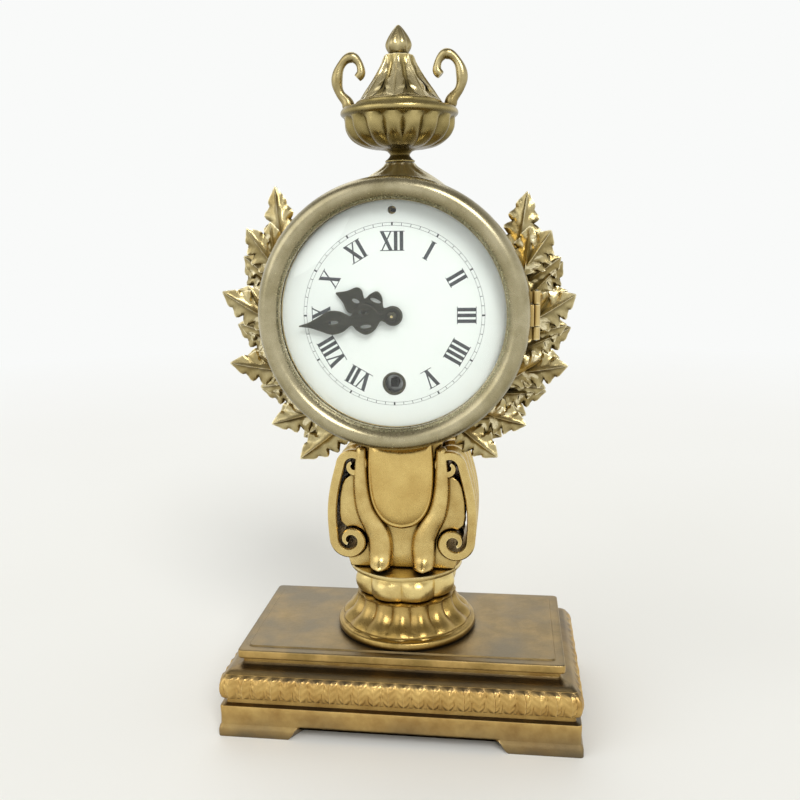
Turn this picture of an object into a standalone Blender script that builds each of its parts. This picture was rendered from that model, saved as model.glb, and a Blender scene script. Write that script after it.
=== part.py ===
"""A gilt brass mantel timepiece: drum clock on a scrolled pedestal with an urn finial.

Metres, +Z up, front towards -Y, origin under the middle of the base.
Pieces of the drum are built looking along their own axis (x right, y up, z towards
the viewer) and then turned upright, so "ahead" below means towards the viewer.
"""

import math

import bmesh
import bpy
from mathutils import Matrix, Vector

# Clearances and shared values
GAP = 0.0003
OVERRUN = 0.002
UPRIGHT = (math.pi / 2, 0, 0)
FULL_TURN = 2 * math.pi
MIRRORED = Matrix.Scale(-1, 4, (1, 0, 0))

# Base: hollow casting on four bracket feet, with a slab on top
BASE_WIDTH = 0.1320
BASE_DEPTH = 0.0730
CASTING_HEIGHT = 0.0272
CASTING_WALL = 0.0110
CASTING_ROOF = 0.0034
APRON_RISE = 0.0045
FOOT_WIDTH = 0.0260
FOOT_DEPTH = 0.0200
FOOT_CURVE = 0.0040
BASE_CORNER = 0.0012
SLAB_INSET = 0.0065
SLAB_THICKNESS = 0.0040
SLAB_BORDER = 0.0032
SLAB_STEP = 0.0005
SLAB_CORNER = 0.0015

# Pedestal: socle, stem, console block, scrolls and saddle on one tie rod
ROD_RADIUS = 0.0020
SOCLE_RADIUS = 0.0262
SOCLE_HEIGHT = 0.0142
STEM_RADIUS = 0.0190
STEM_CAP_RADIUS = 0.0215
STEM_HEIGHT = 0.0115
CONSOLE_HEIGHT = 0.0489
CONSOLE_DEPTH = 0.0240
CONSOLE_FOOT = 0.0205
CONSOLE_FOOT_HEIGHT = 0.0037
CONSOLE_CAP = 0.0150
CAP_THICKNESS = 0.0022
REED_RADIUS = 0.0046
REED_HEIGHT = 0.0180
SHIELD_WIDTH = 0.0240
SHIELD_HEIGHT = 0.0290
SHIELD_THICKNESS = 0.0042
SCROLL_DEPTH = 0.0280
SCROLL_BAND = 0.0034
TOP_VOLUTE = 0.0050
LOW_VOLUTE = 0.0060
VOLUTE_TURNS = 1.15
VOLUTE_EYE_SHARE = 0.27
SCROLL_REACH = 0.0270
SADDLE_WIDTH = 0.0300
SADDLE_DEPTH = 0.0300
SADDLE_WEB = 0.0029
NUT_RADIUS = 0.0048
NUT_HEIGHT = 0.0032

# Drum case and dial
DRUM_RADIUS = 0.0430
DRUM_WALL = 0.0015
DRUM_FRONT = 0.0270
DRUM_BACK = 0.0200
BAND_RISE = 0.0009
BAND_WIDTH = 0.0032
SEAT_AHEAD = 0.0229
SEAT_THICKNESS = 0.0012
SEAT_WIDTH = 0.0030
PAN_THICKNESS = 0.0012
DIAL_THICKNESS = 0.0015
DIAL_DOME = 0.0010
PAN_WALL = 0.0009
CENTRE_HOLE = 0.0026
WINDING_HOLE = 0.0032
WINDING_SHARE = 0.865
REGULATOR_HOLE = 0.0014
REGULATOR_INSET = 0.0055
BEZEL_OVERHANG = 0.0025
BEZEL_WIDTH = 0.0068
BEZEL_DEPTH = 0.0075
GLASS_THICKNESS = 0.0009
GLASS_DOME = 0.0050
GLASS_REST = 0.0014
COVER_THICKNESS = 0.0012
COVER_DOME = 0.0022
COVER_DISH_SHARE = 0.72
KNOB_RADIUS = 0.0026
KNOB_LENGTH = 0.0052
KNUCKLE_RADIUS = 0.0013
KNUCKLE_HALF = 0.0035
HINGE_HALF = 0.0080
HINGE_PIN_RADIUS = 0.0005
LEAF_THICKNESS = 0.0012
LEAF_LENGTH = 0.0100

# Crest and urn finial
CREST_RADIUS = 0.0187
CREST_RISE = 0.0080
FINIAL_ROD_RADIUS = 0.0012
BOWL_HEIGHT = 0.0180
BOWL_RADIUS = 0.0203
LID_HEIGHT = 0.0170
LID_RADIUS = 0.0150
BUD_HEIGHT = 0.0097
BUD_RADIUS = 0.0046
HANDLE_RADIUS = 0.0015
URN_LOBES = 8

# Leaf branches
BRANCH_STEM = 0.0018
BRANCH_LOW = math.radians(-67)
BRANCH_HIGH = math.radians(27)
OUTER_LEAN = math.radians(52)
FRONT_LEAN = math.radians(22)
TOP_LEAN = math.radians(32)
RIGHT_LEAF_SPAN = 0.0200
LEFT_LEAF_SPAN = 0.0218
LEAF_BREADTH = 0.0090
LEAF_SWELL = 0.0018
BRANCH_AHEAD = 0.0080
OUTER_LEAVES = 8
FRONT_LEAVES = 4
LEAF_STATIONS = 4

# Movement
PLATE_THICKNESS = 0.0015
PLATE_SPACING = 0.0240
FRONT_PLATE_ROOM = 0.0007
BACK_PLATE_ROOM = 0.0030
ARBOR_RADIUS = 0.00055
PIVOT_RADIUS = 0.00035
PILLAR_RADIUS = 0.0022
PILLAR_INSET = 0.0055
PILLAR_ANGLES = [math.radians(angle) for angle in (60, 180, 315)]
WHEEL_THICKNESS = 0.0008
HOLE_SIDES = 6
PIN_SIDES = 8
BORE_SIDES = 12

# How finely round shapes are stepped
LARGE_STEPS = 32
MIDDLE_STEPS = 32
SMALL_STEPS = 24
TINY_STEPS = 10

# Shares of the module for clock teeth: pointed wheel teeth and slim pinion leaves
WHEEL_RISE_SHARE = 1.0
WHEEL_SINK_SHARE = 1.35
LEAF_RISE_SHARE = 0.6
LEAF_SINK_SHARE = 1.35
TOOTH_ROOT_SHARE = 0.50
LEAF_ROOT_SHARE = 0.34

# Train: module of each mesh as a share of the drum's inner radius, teeth of wheel and pinion
GREAT_MODULE_SHARE = 0.01325
INTER_MODULE_SHARE = 0.00964
CENTRE_MODULE_SHARE = 0.01012
THIRD_MODULE_SHARE = 0.00964
FOURTH_MODULE_SHARE = 0.00723
MOTION_MODULE = 0.00030
INDEX_MODULE_SHARE = 0.01205
GREAT_TEETH = 48
GREAT_LEAVES = 8
INTER_TEETH = 48
INTER_LEAVES = 8
CENTRE_TEETH = 48
CENTRE_LEAVES = 6
THIRD_TEETH = 45
THIRD_LEAVES = 6
FOURTH_TEETH = 60
FOURTH_LEAVES = 6
ESCAPE_TEETH = 15
CANNON_TEETH = 10
MINUTE_TEETH = 30
MINUTE_LEAVES = 8
HOUR_TEETH = 32
RATCHET_TEETH = 20
INDEX_LEAVES = 8
INDEX_TEETH = 37
ESCAPE_RADIUS = 0.0045
RATCHET_RADIUS = 0.0058
BALANCE_RADIUS = 0.0085
ESCAPE_TO_LEVER = 0.0070
LEVER_TO_BALANCE = 0.0051
BARREL_DEPTH = 0.0150
BARREL_WALL = 0.0008
WINDING_RADIUS = 0.0015
MAINSPRING_THICKNESS = 0.00045
SPRING_TURNS = 3
PINION_LENGTH = 0.0028
CLICK_ARM = 0.0062
CLICK_OFFSET = 0.0030
ESCAPE_THICKNESS = 0.00064
PALLET_CLEARANCE = 0.0007
BALANCE_BAR = 0.0012
HAIRSPRING_THICKNESS = 0.00021
HAIRSPRING_HEIGHT = 0.00045
HAIRSPRING_TURNS = 3
COCK_THICKNESS = 0.00105
COCK_WIDTH = 0.0044
COCK_NOSE = 0.0026
COCK_FOOT = 0.0030
COCK_CLEARANCE = 0.0042
INDEX_COLLAR = 0.0020
CANNON_RADIUS = 0.0011
CANNON_BORE = 0.0008
HOUR_PIPE_RADIUS = 0.0019
HOUR_PIPE_BORE = 0.0014

# Room left between the levels of the movement, from back to front
BARREL_ROOM = 0.0020
INTER_ROOM = 0.0018
CENTRE_ROOM = 0.0016
THIRD_DROP = 0.0075
FOURTH_DROP = 0.0080
ESCAPE_ROOM = 0.0016
BALANCE_ROOM = 0.0032
HAIRSPRING_ROOM = 0.0012
COCK_ROOM = 0.0022
INDEX_ROOM = 0.0018
HOUR_WHEEL_ROOM = 0.0007

# Hands, shown at sixteen minutes to ten
MINUTE_HAND_LENGTH = 0.0318
HOUR_HAND_LENGTH = 0.0205
HAND_THICKNESS = 0.0006
HAND_GAP = 0.0007
MINUTE_HUB = 0.0034
HOUR_HUB = 0.0036
MINUTE_ANGLE = math.radians(90 - 44 * 6)
HOUR_ANGLE = math.radians(90 - (9 + 44 / 60) * 30)

# Levels that follow from the sizes above
slab_base = CASTING_HEIGHT + GAP
slab_top = slab_base + SLAB_THICKNESS
socle_base = slab_top + GAP
stem_base = socle_base + SOCLE_HEIGHT + GAP
console_base = stem_base + STEM_HEIGHT + GAP
console_top = console_base + CONSOLE_HEIGHT
saddle_base = console_top + GAP
drum_bottom = saddle_base + SADDLE_WEB + GAP
dial_height = drum_bottom + DRUM_RADIUS
drum_top = dial_height + DRUM_RADIUS
crest_top = drum_top + CREST_RISE
bowl_base = crest_top + GAP
bowl_top = bowl_base + BOWL_HEIGHT
lid_base = bowl_top + GAP
lid_top = lid_base + LID_HEIGHT
bud_base = lid_top + GAP
drum_middle = (DRUM_BACK - DRUM_FRONT) / 2
drum_inner = DRUM_RADIUS - DRUM_WALL
dial_radius = drum_inner - GAP - PAN_WALL - GAP
regulator_rise = dial_radius - REGULATOR_INSET
great_module = drum_inner * GREAT_MODULE_SHARE
inter_module = drum_inner * INTER_MODULE_SHARE
centre_module = drum_inner * CENTRE_MODULE_SHARE
third_module = drum_inner * THIRD_MODULE_SHARE
fourth_module = drum_inner * FOURTH_MODULE_SHARE
index_module = drum_inner * INDEX_MODULE_SHARE
great_distance = (GREAT_TEETH + GREAT_LEAVES) * great_module / 2
inter_distance = (INTER_TEETH + INTER_LEAVES) * inter_module / 2
winding_drop = (great_distance + inter_distance) * WINDING_SHARE
bezel_radius = DRUM_RADIUS + BEZEL_OVERHANG
sight_radius = bezel_radius - BEZEL_WIDTH
glass_radius = sight_radius + GLASS_REST
front_plate_radius = drum_inner - FRONT_PLATE_ROOM
back_plate_radius = drum_inner - BACK_PLATE_ROOM
pillar_circle = back_plate_radius - PILLAR_INSET
branch_radius = DRUM_RADIUS + GAP + BRANCH_STEM
rod_hole = ROD_RADIUS + GAP
finial_hole = FINIAL_ROD_RADIUS + GAP
front_plate_ahead = SEAT_AHEAD - SEAT_THICKNESS - GAP
front_plate_back = front_plate_ahead - PLATE_THICKNESS
back_plate_ahead = front_plate_back - PLATE_SPACING
back_plate_back = back_plate_ahead - PLATE_THICKNESS
pan_back = SEAT_AHEAD + GAP
dial_back = pan_back + PAN_THICKNESS + GAP
dial_rim = dial_back + DIAL_THICKNESS
dial_front = dial_rim + DIAL_DOME
bezel_back = DRUM_FRONT + GAP
cover_front = -DRUM_BACK - GAP
cannon_level = front_plate_ahead + GAP
minute_wheel_level = cannon_level + GAP
hour_wheel_level = minute_wheel_level + WHEEL_THICKNESS + HOUR_WHEEL_ROOM
hour_hand_level = dial_front + HAND_GAP
minute_hand_level = hour_hand_level + HAND_THICKNESS + HAND_GAP
barrel_level = back_plate_ahead + BARREL_ROOM
inter_level = barrel_level + BARREL_DEPTH + INTER_ROOM
centre_level = inter_level + WHEEL_THICKNESS + CENTRE_ROOM
third_level = centre_level - THIRD_DROP
fourth_level = third_level - FOURTH_DROP
escape_level = back_plate_back - ESCAPE_ROOM
balance_level = escape_level - BALANCE_ROOM
hairspring_level = balance_level - HAIRSPRING_ROOM
cock_level = hairspring_level - COCK_ROOM
index_level = cock_level - INDEX_ROOM

# Finishes: colour, roughness, metallic
GILT = ("gilt_brass", (0.62, 0.42, 0.13), 0.32, 1.0)
DARK_GILT = ("aged_gilt_brass", (0.42, 0.28, 0.09), 0.45, 1.0)
BRASS = ("lacquered_brass", (0.72, 0.55, 0.24), 0.25, 1.0)
STEEL = ("bright_steel", (0.55, 0.55, 0.56), 0.28, 1.0)
BLUED = ("bronzed_steel", (0.10, 0.08, 0.05), 0.40, 0.8)
ENAMEL = ("white_enamel", (0.90, 0.90, 0.87), 0.12, 0.0)
GLASS = ("clear_glass", (0.92, 0.95, 0.94), 0.03, 0.0)


def material(finish):
    """The finish's material, made once."""
    name, colour, roughness, metallic = finish
    if name in bpy.data.materials:
        return bpy.data.materials[name]
    new = bpy.data.materials.new(name)
    new.use_nodes = True
    shader = new.node_tree.nodes["Principled BSDF"]
    shader.inputs["Base Color"].default_value = (*colour, 1)
    shader.inputs["Roughness"].default_value = roughness
    shader.inputs["Metallic"].default_value = metallic
    return new


def piece(name, bm, finish=None, at=(0, 0, 0), turn=(0, 0, 0)):
    """A named object from a bmesh. With no finish it is a hidden cutter or tool shape."""
    bmesh.ops.recalc_face_normals(bm, faces=bm.faces)
    mesh = bpy.data.meshes.new(name)
    bm.to_mesh(mesh)
    bm.free()
    mesh.shade_smooth()
    mesh.set_sharp_from_angle(angle=math.radians(35))
    new = bpy.data.objects.new(name, mesh)
    new.location = at
    new.rotation_euler = turn
    bpy.context.scene.collection.objects.link(new)
    if finish is None:
        new.hide_render = True
        new.display_type = "WIRE"
    else:
        mesh.materials.append(material(finish))
    return new


def boolean(target, operation, tool):
    """Cut the tool shape from the target, or join it on, with the exact solver."""
    step = target.modifiers.new(tool.name, "BOOLEAN")
    step.operation = operation
    step.object = tool
    step.solver = "EXACT"
    step.use_self = operation == "UNION"
    tool.hide_render = True
    tool.display_type = "WIRE"


def cut(target, *tools):
    for tool in tools:
        boolean(target, "DIFFERENCE", tool)


def join(target, *tools):
    for tool in tools:
        boolean(target, "UNION", tool)


def lathe(profile, steps, closed=True):
    """A turned solid about z. The profile is (radius, height) points; a closed one leaves a bore."""
    bm = bmesh.new()
    verts = [bm.verts.new((radius, 0, height)) for radius, height in profile]
    edges = [bm.edges.new(pair) for pair in zip(verts, verts[1:])]
    if closed:
        edges.append(bm.edges.new((verts[-1], verts[0])))
    bmesh.ops.spin(
        bm, geom=verts + edges, cent=(0, 0, 0), axis=(0, 0, 1), angle=FULL_TURN, steps=steps, use_merge=True
    )
    bmesh.ops.remove_doubles(bm, verts=bm.verts, dist=GAP / 1000)
    return bm


def rod(radius, low, high, sides=16):
    """A plain round bar along z."""
    return lathe([(0, low), (radius, low), (radius, high), (0, high)], sides, closed=False)


def prism(outline, low, high):
    """A flat outline of (x, y) points given thickness along z."""
    bm = bmesh.new()
    face = bm.faces.new([bm.verts.new((x, y, low)) for x, y in outline])
    grown = bmesh.ops.extrude_face_region(bm, geom=[face])
    raised = [v for v in grown["geom"] if isinstance(v, bmesh.types.BMVert)]
    bmesh.ops.translate(bm, vec=(0, 0, high - low), verts=raised)
    return bm


def block(x_low, x_high, y_low, y_high, z_low, z_high):
    """A box between corner values."""
    return prism([(x_low, y_low), (x_high, y_low), (x_high, y_high), (x_low, y_high)], z_low, z_high)


def loft(rings):
    """Skin a stack of closed rings, each a list of points of equal count, and cap both ends."""
    bm = bmesh.new()
    loops = [[bm.verts.new(point) for point in ring] for ring in rings]
    for low, high in zip(loops, loops[1:]):
        for i, vert in enumerate(low):
            after = (i + 1) % len(low)
            bm.faces.new((vert, low[after], high[after], high[i]))
    bm.faces.new(loops[0])
    bm.faces.new(loops[-1])
    bmesh.ops.remove_doubles(bm, verts=bm.verts, dist=GAP / 1000)
    return bm


def merged(*parts):
    """Several bmeshes as one, for a tool shape or for shapes that a union then joins."""
    whole = bmesh.new()
    for part in parts:
        mesh = bpy.data.meshes.new("part")
        part.to_mesh(mesh)
        whole.from_mesh(mesh)
        part.free()
        bpy.data.meshes.remove(mesh)
    return whole


def moved(bm, x=0, y=0, z=0):
    bmesh.ops.translate(bm, vec=(x, y, z), verts=bm.verts)
    return bm


def turned(bm, axis, angle):
    bmesh.ops.rotate(bm, matrix=Matrix.Rotation(angle, 3, axis), verts=bm.verts)
    return bm


def lobes(bm, count, depth, low, high):
    """Press upright lobes into a turned shape between two heights, fading out at both ends."""
    for vert in bm.verts:
        if low < vert.co.z < high:
            angle = math.atan2(vert.co.y, vert.co.x)
            fade = math.sin(math.pi * (vert.co.z - low) / (high - low))
            pressed = 1 - depth * fade * (1 - abs(math.cos(count * angle / 2)))
            vert.co.x *= pressed
            vert.co.y *= pressed
    return bm


def upright_prism(outline, depth):
    """A front-view outline of (x, z) points given depth, half of it to each side of the middle plane."""
    return turned(prism(outline, -depth / 2, depth / 2), "X", math.pi / 2)


def circle(radius, count, start=0):
    return [
        (radius * math.cos(start + FULL_TURN * i / count), radius * math.sin(start + FULL_TURN * i / count))
        for i in range(count)
    ]


def rectangle_rings(width, depth, profile, corner):
    """Rings for a moulded plinth: the profile gives (inset, height), corners are cut at 45 degrees."""
    rings = []
    for inset, height in profile:
        x, y = width / 2 - inset, depth / 2 - inset
        ring = []
        for sx, sy in ((1, -1), (1, 1), (-1, 1), (-1, -1)):
            near = [(sx * (x - corner), sy * y, height), (sx * x, sy * (y - corner), height)]
            ring += near if sx * sy < 0 else near[::-1]
        rings.append(ring)
    return rings


def meeting_point(a, a_distance, b, b_distance, side):
    """The point at the two distances from points a and b, on the given side of the line between them."""
    ax, ay = a
    bx, by = b
    between = math.hypot(bx - ax, by - ay)
    along = (a_distance**2 - b_distance**2 + between**2) / (2 * between)
    across = side * math.sqrt(a_distance**2 - along**2)
    ux, uy = (bx - ax) / between, (by - ay) / between
    return ax + along * ux - across * uy, ay + along * uy + across * ux


def inside_drum(half_width):
    """How far from the drum's axis a flat piece of this half width meets the stepped inner wall."""
    return math.sqrt(drum_inner**2 - half_width**2) * math.cos(math.pi / LARGE_STEPS)


def toward(a, b):
    return math.atan2(b[1] - a[1], b[0] - a[0])


def wheel_outline(teeth, module, phase):
    """A wheel of pointed teeth, one of them centred on the phase angle."""
    pitch_radius = teeth * module / 2
    root = pitch_radius - WHEEL_SINK_SHARE * module
    tip = pitch_radius + WHEEL_RISE_SHARE * module
    half = math.pi / teeth
    points = []
    for i in range(teeth):
        middle = phase + FULL_TURN * i / teeth
        for radius, angle in ((tip, middle), (root, middle + half)):
            points.append((radius * math.cos(angle), radius * math.sin(angle)))
    return points


def pinion_outline(leaves, module, phase):
    """A pinion with one leaf centred on the phase angle."""
    pitch_radius = leaves * module / 2
    root = pitch_radius - LEAF_SINK_SHARE * module
    tip = pitch_radius + LEAF_RISE_SHARE * module
    wide = math.pi / leaves * LEAF_ROOT_SHARE
    points = []
    for i in range(leaves):
        middle = phase + FULL_TURN * i / leaves
        for radius, angle in ((root, middle - wide), (tip, middle), (root, middle + wide)):
            points.append((radius * math.cos(angle), radius * math.sin(angle)))
    return points


def gap_phase(direction, leaves):
    """The phase that puts a gap of a pinion opposite the tooth that points at it."""
    return direction + math.pi + math.pi / leaves


def on_dial(place=(0, 0)):
    """Where an arbor of the movement stands in the world."""
    return (place[0], 0, dial_height + place[1])


def arbor(low, high, radius=ARBOR_RADIUS, low_pivot=PIVOT_RADIUS, high_pivot=PIVOT_RADIUS, reach=0):
    """An arbor between the plates with a thinner pivot through each plate."""
    inner_low, inner_high = low + GAP, high - GAP
    out = PLATE_THICKNESS + GAP
    profile = [
        (0, low - out),
        (low_pivot, low - out),
        (low_pivot, inner_low),
        (radius, inner_low),
        (radius, inner_high),
        (high_pivot, inner_high),
        (high_pivot, high + out + reach),
        (0, high + out + reach),
    ]
    return lathe(profile, HOLE_SIDES, closed=False)


def base_casting():
    """Hollow moulded plinth: bracket feet, rail, ovolo band and cavetto, cast in one."""
    moulding_shares = [
        (0.00, 0.00),
        (0.00, 0.12),
        (0.12, 0.165),
        (0.12, 0.42),
        (0.40, 0.45),
        (0.40, 0.51),
        (0.21, 0.53),
        (0.14, 0.63),
        (0.20, 0.74),
        (0.40, 0.85),
        (0.71, 0.905),
        (1.11, 0.925),
        (1.23, 0.965),
        (1.23, 1.00),
    ]
    profile = [(SLAB_INSET * a, CASTING_HEIGHT * b) for a, b in moulding_shares]
    rings = rectangle_rings(BASE_WIDTH, BASE_DEPTH, profile, BASE_CORNER)
    body = piece("base_casting", loft(rings), DARK_GILT)
    inner_x, inner_y = BASE_WIDTH / 2 - CASTING_WALL, BASE_DEPTH / 2 - CASTING_WALL
    hollow = block(-inner_x, inner_x, -inner_y, inner_y, -OVERRUN, CASTING_HEIGHT - CASTING_ROOF)
    cut(body, piece("base_hollow", hollow))
    for name, half, reach, quarter in (
        ("front_apron", BASE_WIDTH / 2 - FOOT_WIDTH, BASE_DEPTH, 0),
        ("side_apron", BASE_DEPTH / 2 - FOOT_DEPTH, BASE_WIDTH, math.pi / 2),
    ):
        outline = [(half, -OVERRUN), (half, 0), (half - FOOT_CURVE / 4, APRON_RISE / 2)]
        outline += [(half - FOOT_CURVE, APRON_RISE)]
        outline += [(-x, z) for x, z in outline[::-1]]
        shape = turned(prism(outline, -reach, reach), "X", math.pi / 2)
        cut(body, piece(name, turned(shape, "Z", quarter)))
    cut(body, piece("base_rod_hole", rod(rod_hole, 0, CASTING_HEIGHT + OVERRUN)))


def base_slab():
    """Top plate of the base with a small raised field inside its border."""
    edge = SLAB_THICKNESS / 5
    profile = [
        (edge, slab_base),
        (0, slab_base + edge),
        (0, slab_top - SLAB_STEP - edge),
        (edge, slab_top - SLAB_STEP),
        (SLAB_BORDER, slab_top - SLAB_STEP),
        (SLAB_BORDER + SLAB_STEP, slab_top),
    ]
    width, depth = BASE_WIDTH - 2 * SLAB_INSET, BASE_DEPTH - 2 * SLAB_INSET
    slab = piece("base_slab", loft(rectangle_rings(width, depth, profile, SLAB_CORNER)), DARK_GILT)
    cut(slab, piece("slab_rod_hole", rod(rod_hole, slab_base - OVERRUN, slab_top + OVERRUN)))


def pedestal_foot():
    """Round socle and lobed stem, turned shapes with pressed lobes."""
    r, h = SOCLE_RADIUS, SOCLE_HEIGHT
    socle_shares = [
        (1.0, 0.0),
        (1.015, 0.08),
        (1.0, 0.19),
        (0.945, 0.25),
        (0.93, 0.31),
        (0.84, 0.46),
        (0.74, 0.72),
        (0.71, 1.0),
    ]
    profile = [(rod_hole, 0)] + [(r * a, h * b) for a, b in socle_shares] + [(rod_hole, h)]
    shape = lobes(lathe(profile, MIDDLE_STEPS), MIDDLE_STEPS // 2, 0.07, h * 0.3, h * 1.05)
    piece("foot_socle", moved(shape, z=socle_base), GILT)

    r, h = STEM_RADIUS, STEM_HEIGHT
    stem_shares = [
        (0.97, 0.0),
        (0.98, 0.12),
        (0.91, 0.36),
        (1.0, 0.46),
        (1.0, 0.55),
        (0.91, 0.64),
    ]
    profile = [(rod_hole, 0)] + [(r * a, h * b) for a, b in stem_shares]
    profile += [(STEM_CAP_RADIUS, h * 0.88), (STEM_CAP_RADIUS, h)]
    profile += [(rod_hole, h)]
    shape = lobes(lathe(profile, MIDDLE_STEPS), MIDDLE_STEPS // 2, 0.08, h * 0.02, h * 0.45)
    shape = lobes(shape, MIDDLE_STEPS // 2, 0.08, h * 0.56, h * 0.87)
    piece("stem", moved(shape, z=stem_base), GILT)


def volute_share(turns):
    """How much of a volute's outer radius is left after this part of a turn inwards."""
    return 1 - (1 - VOLUTE_EYE_SHARE) * turns / VOLUTE_TURNS


def scroll_centres():
    """Centres of the two volutes of the right-hand scroll, the lower one on the console's foot."""
    low_x = SCROLL_REACH - LOW_VOLUTE - SCROLL_BAND / 2
    foot_top = console_base + CONSOLE_FOOT_HEIGHT
    low_z = foot_top + GAP + LOW_VOLUTE * volute_share(1 / 4) + SCROLL_BAND / 2
    top_x = low_x - LOW_VOLUTE / 3
    top_z = console_top - TOP_VOLUTE * 1.9
    return (top_x, top_z), (low_x, low_z)


def volute_inner(centre, radius):
    """How near the middle plane a volute comes, half a turn in."""
    return centre[0] - radius * volute_share(1 / 2) - SCROLL_BAND / 2


def scroll_run(share):
    """A point of the bowed run between the volutes of the right-hand scroll, from top to bottom."""
    top, low = scroll_centres()
    start, end = (top[0] + TOP_VOLUTE, top[1]), (low[0] + LOW_VOLUTE, low[1])
    bow = math.sin(math.pi * share) * SCROLL_BAND / 2
    return start[0] + (end[0] - start[0]) * share + bow, start[1] + (end[1] - start[1]) * share


def console_block():
    """Console body between the scrolls, with a spread foot, a cap and two reeds in front."""
    top, low = scroll_centres()
    at_top = volute_inner(top, TOP_VOLUTE) - GAP
    at_low = volute_inner(low, LOW_VOLUTE) - GAP
    foot_top = console_base + CONSOLE_FOOT_HEIGHT
    over_low = low[1] + LOW_VOLUTE * volute_share(1 / 2) + SCROLL_BAND / 2 + GAP
    under_top = top[1] - TOP_VOLUTE * volute_share(1 / 2) - SCROLL_BAND / 2 - GAP
    under_cap = console_top - CAP_THICKNESS
    right = [(CONSOLE_FOOT * 0.95, console_base), (CONSOLE_FOOT, foot_top)]
    right += [(at_low, foot_top), (at_low, over_low)]
    for share in (0.68, 0.50, 0.32):
        x, z = scroll_run(share)
        right.append((x - SCROLL_BAND / 2 - 2 * GAP, min(max(z, over_low), under_top)))
    right += [
        (at_top, under_top),
        (at_top, under_cap - CAP_THICKNESS),
        (CONSOLE_CAP * 0.93, under_cap),
        (CONSOLE_CAP, under_cap + CAP_THICKNESS * 0.35),
        (CONSOLE_CAP, console_top),
    ]
    outline = right + [(-x, z) for x, z in right[::-1]]
    body = piece("console_body", upright_prism(outline, CONSOLE_DEPTH), GILT)
    reed_shares = [
        (0.0, 0.0),
        (0.80, 0.05),
        (0.88, 0.22),
        (1.0, 0.52),
        (0.94, 0.76),
        (0.62, 0.94),
        (0.0, 1.0),
    ]
    profile = [(REED_RADIUS * a, REED_HEIGHT * b) for a, b in reed_shares]
    reeds = []
    for side in (1, -1):
        reed = lathe(profile, TINY_STEPS, closed=False)
        reeds.append(moved(reed, side * (at_low - REED_RADIUS - GAP), -CONSOLE_DEPTH / 2, console_base + GAP))
    join(body, piece("console_reeds", merged(*reeds)))
    cut(body, piece("console_rod_hole", rod(rod_hole, console_base - OVERRUN, console_top + OVERRUN)))


def shield_panel():
    """Smooth swelling shield on the console's front, rounded below."""
    half, h = SHIELD_WIDTH / 2, SHIELD_HEIGHT
    edge_shares = [
        (0.0, 0.0),
        (0.36, 0.03),
        (0.66, 0.12),
        (0.88, 0.27),
        (0.98, 0.46),
        (1.0, 0.72),
        (0.96, 1.0),
    ]
    right = [(half * a, h * b) for a, b in edge_shares]
    outline = right + [(0, h * 0.955)] + [(-x, z) for x, z in right[:0:-1]]
    middle = (0, h * 0.6)
    rings = []
    swell_shares = [(0.0, 0.0), (0.0, 0.28), (0.10, 0.50), (0.40, 0.86), (0.72, 1.0)]
    for inset, ahead in swell_shares:
        ring = [
            (x + (middle[0] - x) * inset, z + (middle[1] - z) * inset, SHIELD_THICKNESS * ahead)
            for x, z in outline
        ]
        rings.append(ring)
    base = console_top - h - GAP
    piece("shield_panel", loft(rings), GILT, (0, -CONSOLE_DEPTH / 2 - GAP, base), UPRIGHT)


def scroll_line():
    """Middle line of the right-hand scroll: a volute, a bowed run down and a larger volute."""
    top, low = scroll_centres()
    line = []
    steps = 15
    for i in range(steps + 1):
        inward = VOLUTE_TURNS * (1 - i / steps)
        angle = FULL_TURN * inward
        radius = TOP_VOLUTE * volute_share(inward)
        line.append((top[0] + radius * math.cos(angle), top[1] + radius * math.sin(angle)))
    line += [scroll_run(i / 5) for i in range(1, 5)]
    for i in range(steps + 1):
        inward = VOLUTE_TURNS * i / steps
        angle = -FULL_TURN * inward
        radius = LOW_VOLUTE * volute_share(inward)
        line.append((low[0] + radius * math.cos(angle), low[1] + radius * math.sin(angle)))
    return line


def ribbon(line, widths):
    """The outline of a band of given widths along a line."""
    left, right = [], []
    for i, (x, y) in enumerate(line):
        before, after = line[max(i - 1, 0)], line[min(i + 1, len(line) - 1)]
        along = Vector((after[0] - before[0], after[1] - before[1])).normalized()
        left.append((x - along.y * widths[i] / 2, y + along.x * widths[i] / 2))
        right.append((x + along.y * widths[i] / 2, y - along.x * widths[i] / 2))
    return left + right[::-1]


def side_scrolls():
    """A C-scroll on each side of the console, a band rolled into a volute at both ends."""
    line = scroll_line()
    last = len(line) - 1
    widths = [SCROLL_BAND * (0.40 + 0.60 * min(1, min(i, last - i) / 9)) for i in range(len(line))]
    outline = ribbon(line, widths)
    for name, side in (("scroll_right", 1), ("scroll_left", -1)):
        band = upright_prism(outline, SCROLL_DEPTH)
        if side < 0:
            bmesh.ops.transform(band, matrix=MIRRORED, verts=band.verts)
        piece(name, band, GILT)


def saddle():
    """Saddle block whose hollow top takes the drum."""
    half = SADDLE_WIDTH / 2
    radius = DRUM_RADIUS + GAP
    reach = math.asin(half / radius)
    steps = 8
    arc = []
    for i in range(steps + 1):
        angle = reach * (1 - 2 * i / steps)
        arc.append((radius * math.sin(angle), dial_height - radius * math.cos(angle)))
    outline = [(-CONSOLE_CAP * 0.9, saddle_base), (CONSOLE_CAP * 0.9, saddle_base)]
    outline += [(half, saddle_base + SADDLE_WEB * 0.6)] + arc + [(-half, saddle_base + SADDLE_WEB * 0.6)]
    body = piece("saddle", moved(upright_prism(outline, SADDLE_DEPTH), y=drum_middle), GILT)
    cut(body, piece("saddle_rod_hole", rod(rod_hole, saddle_base - OVERRUN, dial_height)))


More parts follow.
